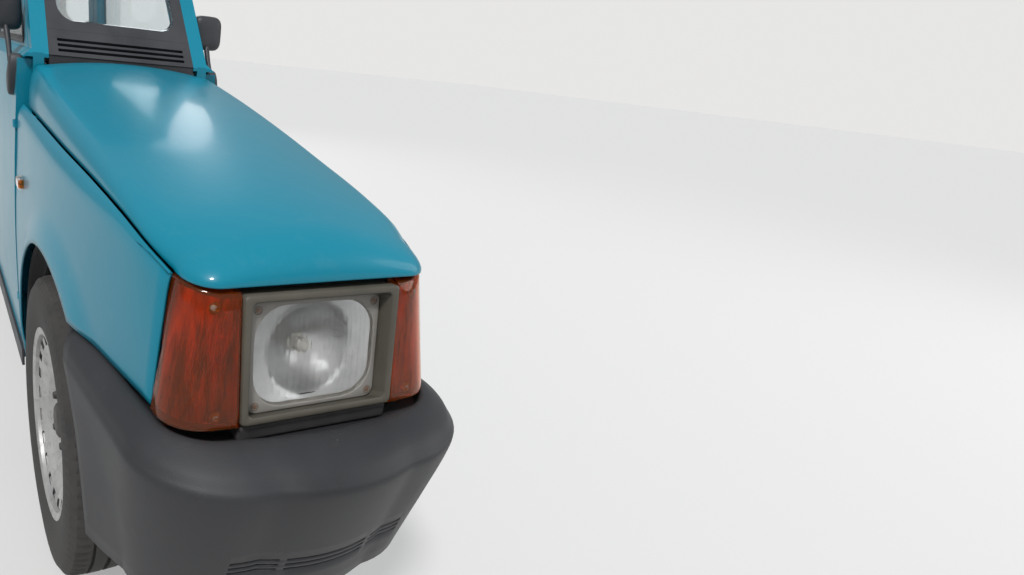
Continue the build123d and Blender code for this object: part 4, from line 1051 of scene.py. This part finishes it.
def make_headlamp_glass():
    """Front glass with moulded upright flutes."""
    half = unit_half - 6.0
    low = unit_low + 5.5
    high = unit_high - 5.5
    middle = (low + high) / 2
    wide = 150
    tall = 26
    rows = []
    for j in range(tall + 1):
        up = lerp(low, high, j / tall)
        row = []
        for i in range(wide + 1):
            x = lerp(-half, half, i / wide)
            from_edge = min(half - abs(x), up - low, high - up)
            crown = 5.0 * (1 - (x / half) ** 2) * (1 - ((up - middle) / (high - low) * 2) ** 2)
            flute = 0.0
            if abs(x) < half - 9 and low + 10 < up < high - 9:
                share = smooth(0, 9, from_edge - 9)
                flute = 0.75 * cos(x * 2 * pi / (7.0 if up > middle else 9.0)) * share
            row.append(on_headlamp(x, up, unit_depth + 1.0 - crown + flute))
        rows.append(row)
    piece("headlamp_glass", grid(rows), "chassis", "clear_lens", "clear_lens", 60, node="headlamp_lens")


def make_reflector():
    """Bowl behind the glass, cut square by the lamp body and closed to it at its edge, with its bulb."""
    half = unit_half - 4
    low = unit_low + 4
    high = unit_high - 4
    middle = (low + high) / 2
    wide = 34
    tall = 26
    rows = []
    for j in range(-1, tall + 2):
        up = lerp(low, high, clamp(j / tall))
        row = []
        for i in range(-1, wide + 2):
            x = lerp(-half, half, clamp(i / wide))
            away = hypot(x, up - middle)
            depth = lerp(bowl_rim, unit_depth + 6, clamp((away - bowl_radius) / 30))
            depth += bowl_deep * max(0.0, 1 - (away / bowl_radius) ** 2)
            if j in (-1, tall + 1) or i in (-1, wide + 1):
                depth = unit_depth + 4
            row.append(on_headlamp(x, up, depth))
        rows.append(row)
    piece("headlamp_reflector", grid(rows), "chassis", "reflector", "lamp_body", 45, node="headlamp_body")
    bulb = lathe(bulb_profile, 24, lambda d, across, up: on_headlamp(across, middle + up, unit_depth + d))
    piece("headlamp_bulb", bulb, "chassis", "bulb_glass", "lamp_body", 40, node="headlamp_body")


# Wheels, as distances out from the wheel's middle and radii in millimetres
wheel_x = 178.0
shoulder_notches = 84
notch_depth = 3.2
rim_holes = 20
hole_steps = 6
tyre_profile = (
    (-60, 168), (-62, 180), (-66, 200), (-68.5, 224), (-65, 250), (-56, 264), (-46, 267.5), (-30, 269),
    (-29, 263.5), (-25, 263.5), (-24, 269.5), (-4, 270), (-3, 263.5), (3, 263.5), (4, 270), (24, 269.5),
    (25, 263.5), (29, 263.5), (30, 269), (46, 267.5), (56, 264), (65, 250), (68.5, 224), (66, 200), (62, 180),
    (60, 168),
)
barrel_profile = (
    (-60.5, 176), (-58, 177.5), (-55.5, 176), (-55, 166), (-36, 165), (-28, 151), (10, 151), (22, 162),
    (50, 163), (54, 167), (55.5, 176), (58, 178), (61, 176), (61, 170), (58, 161), (44, 157.5), (26, 157),
    (15, 146), (-26, 146), (-34, 160), (-56, 161), (-60.5, 170), (-60.5, 176),
)
disc_profile = (
    (48, 161), (51.5, 157), (52, 153), (51, 147), (49.5, 140), (47, 132), (40, 120), (36, 112), (36, 106),
    (40, 99), (43, 93), (43.5, 86), (41, 79), (34, 72), (30, 66), (29, 56), (31, 50), (31, 36), (29, 34),
    (29, 12),
)
cap_profile = ((29, 33), (36, 33), (41, 31), (44, 26), (45.5, 16), (46, 0))
nut_profile = ((29, 9.5), (34, 9.5), (42, 7.6), (43.5, 5.5), (43.5, 0))
nut_circle = 48.0
drum_profile = ((-14, 30), (-14, 100), (10, 101), (20, 99), (21, 92), (21, 34))
valve_profile = ((24, 3.2), (40, 3.4), (47, 3.0), (48, 0))
valve_up = 146
valve_along = 8


def wheel_place(sign, station):
    middle = place(sign * wheel_x, station, wheel_height)

    def to_world(out, up, along):
        return middle + Vector((sign * out, along, up)) / 1000

    return to_world


def make_tyre(name, to_world, sign):
    """Tyre with three grooves round it and notches in its shoulders."""
    rows = []
    for i, (c, s) in enumerate(circle(shoulder_notches * 3)):
        row = []
        for out, radius in tyre_profile:
            if i % 3 == 1 and 44 < abs(out) < 60:
                radius -= notch_depth
            row.append(to_world(out, radius * c, radius * s))
        rows.append(row)
    shape = grid(rows, closed_rows=True)
    body = f"wheel_{name}"
    piece(f"road_tyre_{name}", shape, body, "tyre_rubber", "tyre_rubber", 28, sign < 0, f"tyre_{name}")


def make_rim(name, to_world, sign):
    """Barrel and pressed disc, with a ring of holes near its edge."""
    steps = rim_holes * hole_steps
    skip = {(j, i) for j in (1, 2, 3) for i in range(steps) if i % hole_steps in (1, 2, 3)}
    shape = join_lists([lathe(barrel_profile, 72, to_world), spin(disc_profile, steps, to_world, skip)])
    body = f"wheel_{name}"
    piece(f"road_rim_{name}", shape, body, "wheel_steel", "wheel_steel", 35, sign < 0, f"rim_{name}")


def make_wheel_parts(name, to_world):
    """Hub cap, wheel nuts, valve and the drum behind the holes."""
    nuts = []
    for i in range(4):
        angle = 2 * pi * (i + 0.5) / 4
        up, along = nut_circle * cos(angle), nut_circle * sin(angle)
        nuts.append(spin(nut_profile, 6, lambda out, a, b: to_world(out, up + a, along + b)))
    body = f"wheel_{name}"
    for part, shape, sharp in (
        ("hub_cap", lathe(cap_profile, 32, to_world), 30),
        ("wheel_nuts", join_lists(nuts), 25),
        ("brake_drum", lathe(drum_profile, 40, to_world), 30),
    ):
        piece(f"{part}_{name}", shape, body, "axle_steel", "wheel_steel", sharp, node=f"rim_{name}")
    valve = spin(valve_profile, 12, lambda out, a, b: to_world(out, valve_up + a, valve_along + b))
    piece(f"valve_{name}", valve, body, "rubber", "rubber", 35)


def make_wheels():
    for end, station in (("front", front_axle), ("rear", rear_axle)):
        for sign, side in both_sides:
            name = f"{end}_{side}"
            to_world = wheel_place(sign, station)
            make_tyre(name, to_world, sign)
            make_rim(name, to_world, sign)
            make_wheel_parts(name, to_world)


# Seat pads, in metres. A seam is its depth and width, and the channels' width and pitch are in millimetres
pad_allowance = 0.022
voxel = 0.0075
swell_frames = 20
edge_seam = (0.006, 0.007)
channel_seam = (0.005, 6.0)
channel_pitch = 78.0


def make_seats():
    """Cushion and backrest, swelled as cloth around their foam by no more than a cap."""
    for name, node, cap in (("seat_pad", "seat_cushion", 0.022), ("back_pad", "seat_back", 0.020)):
        make_pad(name, node, cap)


def settled(item):
    """The item's mesh with its modifiers applied."""
    bpy.context.view_layer.update()
    return bpy.data.meshes.new_from_object(item.evaluated_get(bpy.context.evaluated_depsgraph_get()))


def make_pad(name, node, cap):
    mesh = nodes[node].data.copy()
    mesh.transform(nodes[node].matrix_world)
    low = Vector((min(v.co[k] for v in mesh.vertices) for k in range(3)))
    high = Vector((max(v.co[k] for v in mesh.vertices) for k in range(3)))
    middle = (low + high) / 2
    for v in mesh.vertices:
        for k in range(3):
            v.co[k] = middle[k] + (v.co[k] - middle[k]) * (1 - pad_allowance / (high[k] - low[k]))
    mesh.materials.clear()
    item = bpy.data.objects.new(name, mesh)
    scene.collection.objects.link(item)
    shape = item.modifiers.new("Remesh", "REMESH")
    shape.mode = "VOXEL"
    shape.voxel_size = voxel
    solid = settled(item)
    bpy.data.objects.remove(item)
    item = bpy.data.objects.new(name, solid)
    scene.collection.objects.link(item)
    swell(item, cap)
    press_seams(item.data, low, high, middle, node)
    item.data.materials.append(materials["seat_fabric"])
    item.data.shade_smooth()
    finer = item.modifiers.new("Finer", "SUBSURF")
    finer.levels = 1
    finer.render_levels = 1
    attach(item, "chassis")
    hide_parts(node)


def swell(item, cap):
    """Blows a pad up as cloth, with no point moving further than the cap."""
    rest = [v.co.copy() for v in item.data.vertices]
    cloth = item.modifiers.new("Swell", "CLOTH")
    cloth.settings.use_pressure = True
    cloth.settings.uniform_pressure_force = 4.0
    cloth.settings.effector_weights.gravity = 0.0
    for number in range(1, swell_frames + 1):
        scene.frame_set(number)
        bpy.context.view_layer.update()
    swelled = settled(item)
    item.modifiers.clear()
    item.data = swelled
    for v, at_rest in zip(swelled.vertices, rest):
        move = v.co - at_rest
        if move.length > cap:
            v.co = at_rest + move * (cap / move.length)
    scene.frame_set(1)


def press_seams(mesh, low, high, middle, node):
    """Sewn channels across the pad and a seam inside its edge."""
    edge = (high.x - low.x) / 2 * 0.68
    for v in mesh.vertices:
        across = abs(v.co.x - middle.x)
        depth = edge_seam[0] * exp(-((across - edge) / edge_seam[1]) ** 2)
        if across < edge:
            along = (v.co.y if node == "seat_cushion" else v.co.z) * 1000
            from_channel = along % channel_pitch - channel_pitch / 2
            depth += channel_seam[0] * exp(-(from_channel / channel_seam[1]) ** 2)
        if node == "seat_cushion":
            if v.co.z > middle.z:
                v.co.z -= depth
        elif v.co.y < middle.y + (v.co.z - middle.z) * 0.25:
            v.co.y += depth


# Tail lamps. Columns of the bands: name, lower and upper height, finish, slot, fall of each edge towards
# the outside, inset
tail_in_bottom = 108.0
tail_in_top = 140.0
tail_out = 246.0
tail_low = 548.0
tail_high = 822.0
tail_slant = 30.0
tail_front = 3290.0
tail_back = 3374.0
tail_corner = 30.0
tail_bands = (
    ("tail_foot", tail_low, 560, "trim_plastic", "trim_plastic", 0, 0, 0.0),
    ("reverse_band", 560, 608, "pale_lens", "clear_lens", 0, 0, 0.8),
    ("turn_band", 608, 662, "amber_lens", "amber_lens", 0, 0, 0.8),
    ("stop_band", 662, 724, "red_lens", "red_lens", 0, 0, 0.8),
    ("tail_band", 724, 786, "red_deep", "red_lens", 0, 14, 0.8),
    ("tail_head", 786, tail_high, "trim_plastic", "trim_plastic", 14, tail_slant, 0.0),
)


def tail_inner(z):
    return lerp(tail_in_bottom, tail_in_top, (z - tail_low) / (tail_high - tail_low))


def tail_ring(z, inset, slant=0.0):
    """Plan line of a tail lamp at a height, from its inner front round the back to its outer front."""
    x_in = tail_inner(z) + inset
    x_out = tail_out - inset
    back = tail_back - inset
    radius = tail_corner
    line = [(x_in, tail_front), (x_in, back - 14), (x_in + 1.2, back - 5), (x_in + 6, back)]
    line += [(lerp(x_in + 6, x_out - radius, i / 6), back) for i in range(1, 7)]
    for i in range(1, 9):
        angle = pi / 2 * i / 8
        line.append((x_out - radius + radius * sin(angle), back - radius + radius * cos(angle)))
    line += [(x_out, lerp(back - radius, tail_front, i / 3)) for i in range(1, 4)]
    return [(x, s, z - slant * ((x - x_in) / (x_out - x_in))) for x, s in line]


def make_tail_lamps():
    """Coloured bands, the top one closed, with a plain core behind them."""
    for name, low, high, finish, slot, slant_low, slant_high, depth in tail_bands:
        levels = [(low, 2.2 + depth), (low + 1.2, 0.6 + depth), (low + 3, depth)]
        levels += [(lerp(low + 3, high - 3, i / 4), depth) for i in range(1, 4)]
        levels += [(high - 3, depth), (high - 1.2, 0.6 + depth), (high, 2.2 + depth)]
        for sign, side in both_sides:
            rows = []
            for z, inset in levels:
                slant = lerp(slant_low, slant_high, (z - low) / (high - low))
                rows.append([place(sign * x, s, h) for x, s, h in tail_ring(z, inset, slant)])
            if high == tail_high:
                middle_x = lerp(tail_inner(high), tail_out, 0.5) * sign / 1000
                middle = [Vector((middle_x, p.y, p.z)) for p in rows[-1]]
                rows += [[p.lerp(q, 0.6) for p, q in zip(rows[-1], middle)], middle]
            piece(f"{name}_{side}", grid(rows), "chassis", finish, slot, 45, sign < 0, "tail_lamps")
    for sign, side in both_sides:
        rows = []
        for z, slant in ((552, 0), (620, 0), (700, 0), (796, 14)):
            rows.append([place(sign * x, s - 6, h) for x, s, h in tail_ring(z, 7.0, slant)])
        piece(
            f"tail_core_{side}", grid(rows), "chassis", "lamp_grey", "lamp_body", 45, sign < 0, "tail_lamps"
        )


# Mirrors. The head's profile runs from its front to the rim round the glass, as shares of its half-depth
# and of its full outline. The stalk's rows are a point and its half-widths
mirror_middle = (236.0, 1150.0, 973.0)
mirror_size = (36.0, 17.0, 40.0)
head_profile = (
    (-1.0, 0.30), (-0.94, 0.62), (-0.8, 0.82), (-0.5, 0.95), (-0.1, 0.995), (0.55, 1.0), (0.88, 0.985),
    (1.0, 0.95), (1.0, 0.88), (0.8, 0.86),
)
silver_profile = ((0.84, 0.86), (0.84, 0.5), (0.84, 0.02))
head_power = 2 / 4.2
stalk_rows = (
    (233, 1096, 870, 5.5, 6), (233, 1101, 880, 5.5, 6), (233, 1111, 893, 5.5, 6), (233, 1122, 908, 6, 6.5),
    (234, 1136, 929, 6.5, 7), (235, 1147, 948, 7, 8), (235, 1152, 966, 9, 10),
)
foot_middle = (1084.0, 844.0)
foot_half = (22.0, 44.0)
foot_profile = (
    (216, 1.0), (236, 1.0), (238.5, 0.96), (240.5, 0.86), (241.5, 0.7), (242.0, 0.4), (242.1, 0.02),
)


def make_mirrors():
    x0, station, z0 = mirror_middle
    half_x, half_y, half_z = mirror_size
    for sign, side in both_sides:
        def on_head(depth, scale, c, s):
            x = half_x * scale * signed_power(c, head_power)
            z = half_z * scale * signed_power(s, head_power)
            return place(sign * (x0 + x), station + half_y * depth, z0 + z)

        def on_foot(out, scale, c, s):
            z = foot_middle[1] + foot_half[1] * c * scale
            along = foot_half[0] * signed_power(s, 1.2) * scale - 10 * c * scale
            return place(sign * (out - 0.10 * max(0, z - 840)), foot_middle[0] + along, z)

        rows = [[on_head(depth, scale, c, s) for c, s in circle(32)] for depth, scale in head_profile]
        centre = sum(rows[0], Vector()) / len(rows[0])
        rows.insert(0, [centre.lerp(p, 0.02) for p in rows[0]])
        head = grid(rows, closed_columns=True)
        silver = dome(silver_profile, 32, on_head)
        stalk = tube([place(sign * x, s, z) for x, s, z, _, _ in stalk_rows], [row[3:] for row in stalk_rows])
        foot = dome(foot_profile, 36, on_foot)
        for part, shape, finish, slot, sharp, flip in (
            ("head", head, "trim_plastic", "trim_plastic", 50, sign < 0),
            ("glass", silver, "mirror_silver", "glass", 0, sign < 0),
            ("stalk", stalk, "trim_plastic", "trim_plastic", 50, False),
            ("foot", foot, "trim_plastic", "trim_plastic", 40, sign < 0),
        ):
            name = f"mirror_{part}_{side}"
            piece(name, shape, f"door_{side}", finish, slot, sharp, flip, f"mirror_{side}")


def tube(line, radii, sides=16):
    """Tube of points round a line of points in metres."""
    rows = []
    for i, (spot, (wide, deep)) in enumerate(zip(line, radii)):
        ahead = (line[min(i + 1, len(line) - 1)] - line[max(i - 1, 0)]).normalized()
        across = ahead.cross(Vector((1, 0, 0))).normalized()
        side = ahead.cross(across).normalized()
        rows.append([spot + (side * wide * c + across * deep * s) / 1000 for c, s in circle(sides)])
    return grid(rows, closed_columns=True)


# Door handles
plate_half = (62, 17)
handle_height = 806.0
handle_station = 1962.0
pull_start = 1918.0
pull_length = 72.0
pull_bow = 13.0
pull_steps = 12
lock_station = 2008.0
lock_height = 804.0
plate_profile = ((-3, 1.0), (1.6, 1.0), (2.6, 0.97), (3.0, 0.9), (1.8, 0.78), (1.2, 0.02))
lock_profile = ((0, 7.5), (4.5, 7.5), (5.6, 6.6), (5.6, 3.2), (4.6, 2.6), (4.6, 0.1))


def door_skin(z):
    """Half-width of the door's outside at a height."""
    return 236 - 0.035 * max(0, z - 560)


def make_handles():
    """Pull handle with its recess plate and lock on each door."""
    for sign, side in both_sides:
        def on_plate(lift, scale, c, s):
            along = plate_half[0] * signed_power(c, 0.55) * (1 - (1 - scale) * 0.45)
            up = plate_half[1] * signed_power(s, 0.55) * scale
            if scale < 0.1:
                along *= 0.02
            x = sign * (door_skin(handle_height) + lift)
            return place(x, handle_station + along, handle_height + up)

        def on_lock(lift, along, up):
            return place(sign * (door_skin(lock_height) + lift), lock_station + along, lock_height + up)

        body = f"door_{side}"
        plate = dome(plate_profile, 40, on_plate)
        piece(f"handle_plate_{side}", plate, body, "trim_plastic", "trim_plastic", 40, sign > 0)
        path = []
        for i in range(pull_steps + 1):
            share = i / pull_steps
            bow = pull_bow * sin(pi * share) ** 0.45 if 0 < share < 1 else 0
            path.append(place(sign * (door_skin(808) + 1 + bow), pull_start + pull_length * share, 810))
        pull = tube(path, [(5.5, 8)] * len(path), 14)
        piece(f"handle_pull_{side}", pull, body, "trim_plastic", "trim_plastic", 50)
        lock = spin(lock_profile, 20, on_lock)
        piece(f"door_lock_{side}", lock, body, "axle_steel", "wheel_steel", 30, sign > 0)


# Window rubbers. Half-widths and heights of the cabin's side at the glass foot and at the cant rail
glass_foot = (196.0, 902.0)
cant_rail = (172.0, 1378.0)
rubber_overlap = 3.0


def cabin_side(z):
    return lerp(glass_foot[0], cant_rail[0], (z - glass_foot[1]) / (cant_rail[1] - glass_foot[1]))


def rounded_outline(corners, radius, steps=7):
    """Line of (station, height) points round a polygon with its corners rounded."""
    line = []
    for i, here in enumerate(corners):
        before, after = corners[i - 1], corners[(i + 1) % len(corners)]
        first = radius / hypot(before[0] - here[0], before[1] - here[1])
        second = radius / hypot(after[0] - here[0], after[1] - here[1])
        a = [lerp(here[n], before[n], first) for n in (0, 1)]
        b = [lerp(here[n], after[n], second) for n in (0, 1)]
        for k in range(steps + 1):
            line.append(tuple(bezier(a[n], here[n], b[n], k / steps) for n in (0, 1)))
    return line


def closed_tube(line, wide, deep, sides=12):
    """Closed rubber section round a line of points in metres, flat to the car's side."""
    out = Vector((1, 0, 0))
    rows = []
    for i, spot in enumerate(line):
        ahead = (line[(i + 1) % len(line)] - line[i - 1]).normalized()
        side = ahead.cross(out).normalized()
        rows.append([spot + (side * wide * c + out * deep * s) / 1000 for c, s in circle(sides)])
    return grid(rows, closed_rows=True, closed_columns=True)


def pane_corners(node):
    """Corners (station, height) of a rubber round a glass pane, as it stands in side view."""
    source = nodes[node]
    spots = [source.matrix_world @ v.co for v in source.data.vertices]
    spots = [(p.y * 1000 + half_length, p.z * 1000) for p in spots if p.x > 0]
    bottom = min(z for s, z in spots)
    top = max(z for s, z in spots)
    at_bottom = [s for s, z in spots if z < bottom + 6]
    at_top = [s for s, z in spots if z > top - 6]
    return [
        (min(at_bottom) - rubber_overlap, bottom - rubber_overlap),
        (min(at_top) - rubber_overlap, top + rubber_overlap),
        (max(at_top) + rubber_overlap, top + rubber_overlap),
        (max(at_bottom) + rubber_overlap, bottom - rubber_overlap),
    ]


def make_window_rubbers():
    for name, pane, on_door in (
        ("door_window_rubber", "door_glass_left", True), ("quarter_window_rubber", "quarter_glass", False),
    ):
        outline = rounded_outline(pane_corners(pane), 20)
        for sign, side in both_sides:
            line = [place(sign * (cabin_side(z) + 0.5), s, z) for s, z in outline]
            body = f"door_{side}" if on_door else "chassis"
            piece(f"{name}_{side}", closed_tube(line, 7.5, 4.0), body, "rubber", "rubber", 60)


# Side repeaters: an amber lens with a grey base behind it. Columns: name, station, half-length, finish, slot
repeater_height = 645.0
repeater_profile = ((234.5, 1.0), (241, 1.0), (244, 0.93), (245.6, 0.78), (246.2, 0.5), (246.3, 0.02))
repeater_parts = (
    ("lens", 905.0, 17.0, "amber_lens", "amber_lens"), ("base", 925.5, 5.5, "lamp_grey", "lamp_body"),
)


def make_repeaters():
    for sign, side in both_sides:
        for part, station, half, finish, slot in repeater_parts:
            def on_lamp(out, scale, c, s):
                along = half * signed_power(c, 0.5) * (1 - (1 - scale) * 0.35)
                up = 11 * signed_power(s, 0.6) * scale
                if scale < 0.1:
                    along *= 0.05
                return place(sign * out, station + along, repeater_height + up)

            shape = dome(repeater_profile, 28, on_lamp)
            name = f"repeater_{part}_{side}"
            piece(name, shape, "chassis", finish, slot, 45, sign > 0, "indicator_lamps")


def make_headlamp_gap_shade():
    """Dark block, in the rubber finish, that closes the gap between the headlamp and the bumper and stands
    for the shade in that gap.
    """
    # Painted shade: a dark block put in the gap where there is only shade
    shape = box_at(place(-103, 101, 522), place(103, 127, 541))
    item = piece("headlamp_pad", shape, "chassis", "rubber", "rubber", 0)
    soften(item, 0.004, 3)


def soften_solids():
    for name, width in (
        ("rear_window_seal", 0.005), ("dashboard", 0.006), ("sill_trims", 0.004), ("steering_column", 0.002),
    ):
        soften(nodes[name], width, 3, 40)


# Wheel arches. The band's section runs from the outer skin in to the liner, as half-widths and radii
seal_section = ((232, 319), (226, 317), (214, 314), (206, 309), (203, 304), (201, 303), (201, 310))
shade_sheet_radii = (300, 285, 268, 250)


def make_arch_seals():
    """Band in each wheel arch that meets the liner behind the outer skin, and dark sheets across the front
    ones that stand for the shade seen through the gaps round the front wheels.
    """
    for end, station, first, last in (("front", front_axle, -4, 172), ("rear", rear_axle, 8, 184)):
        for sign, side in both_sides:
            rows = [
                [place(sign * x, station + r * c, arch_height + r * s) for x, r in seal_section]
                for c, s in arc(first, last, 60)
            ]
            name = f"arch_seal_{end}_{side}"
            item = piece(name, grid(rows), "chassis", "floor_steel", "floor_steel", 50)
            thicken(item, 0.002, 0.0)
    # Painted shade: dark sheets between the front wheels, behind the gaps round the tyres
    for name, first, last in (("rear", 28, 82), ("front", 98, 152)):
        rows = [
            [place(0, front_axle + r * c, wheel_height + r * s) for r in shade_sheet_radii]
            for c, s in arc(first, last, 24)
        ]
        item = piece(f"arch_shade_sheet_{name}", grid(rows), "chassis", "floor_steel", "floor_steel", 50)
        thicken(item, 0.004, 0.0)


make_materials()
dress_solids()
make_camera()
make_stage()
make_light()
make_bonnet()
make_wings()
make_bumper("bumper_front", "front_bumper", True)
make_bumper("bumper_rear", "rear_bumper", False)
make_corner_lamps()
make_headlamp()
make_wheels()
make_seats()
make_tail_lamps()
make_mirrors()
make_handles()
make_window_rubbers()
make_repeaters()
make_headlamp_gap_shade()
make_arch_seals()
soften_solids()
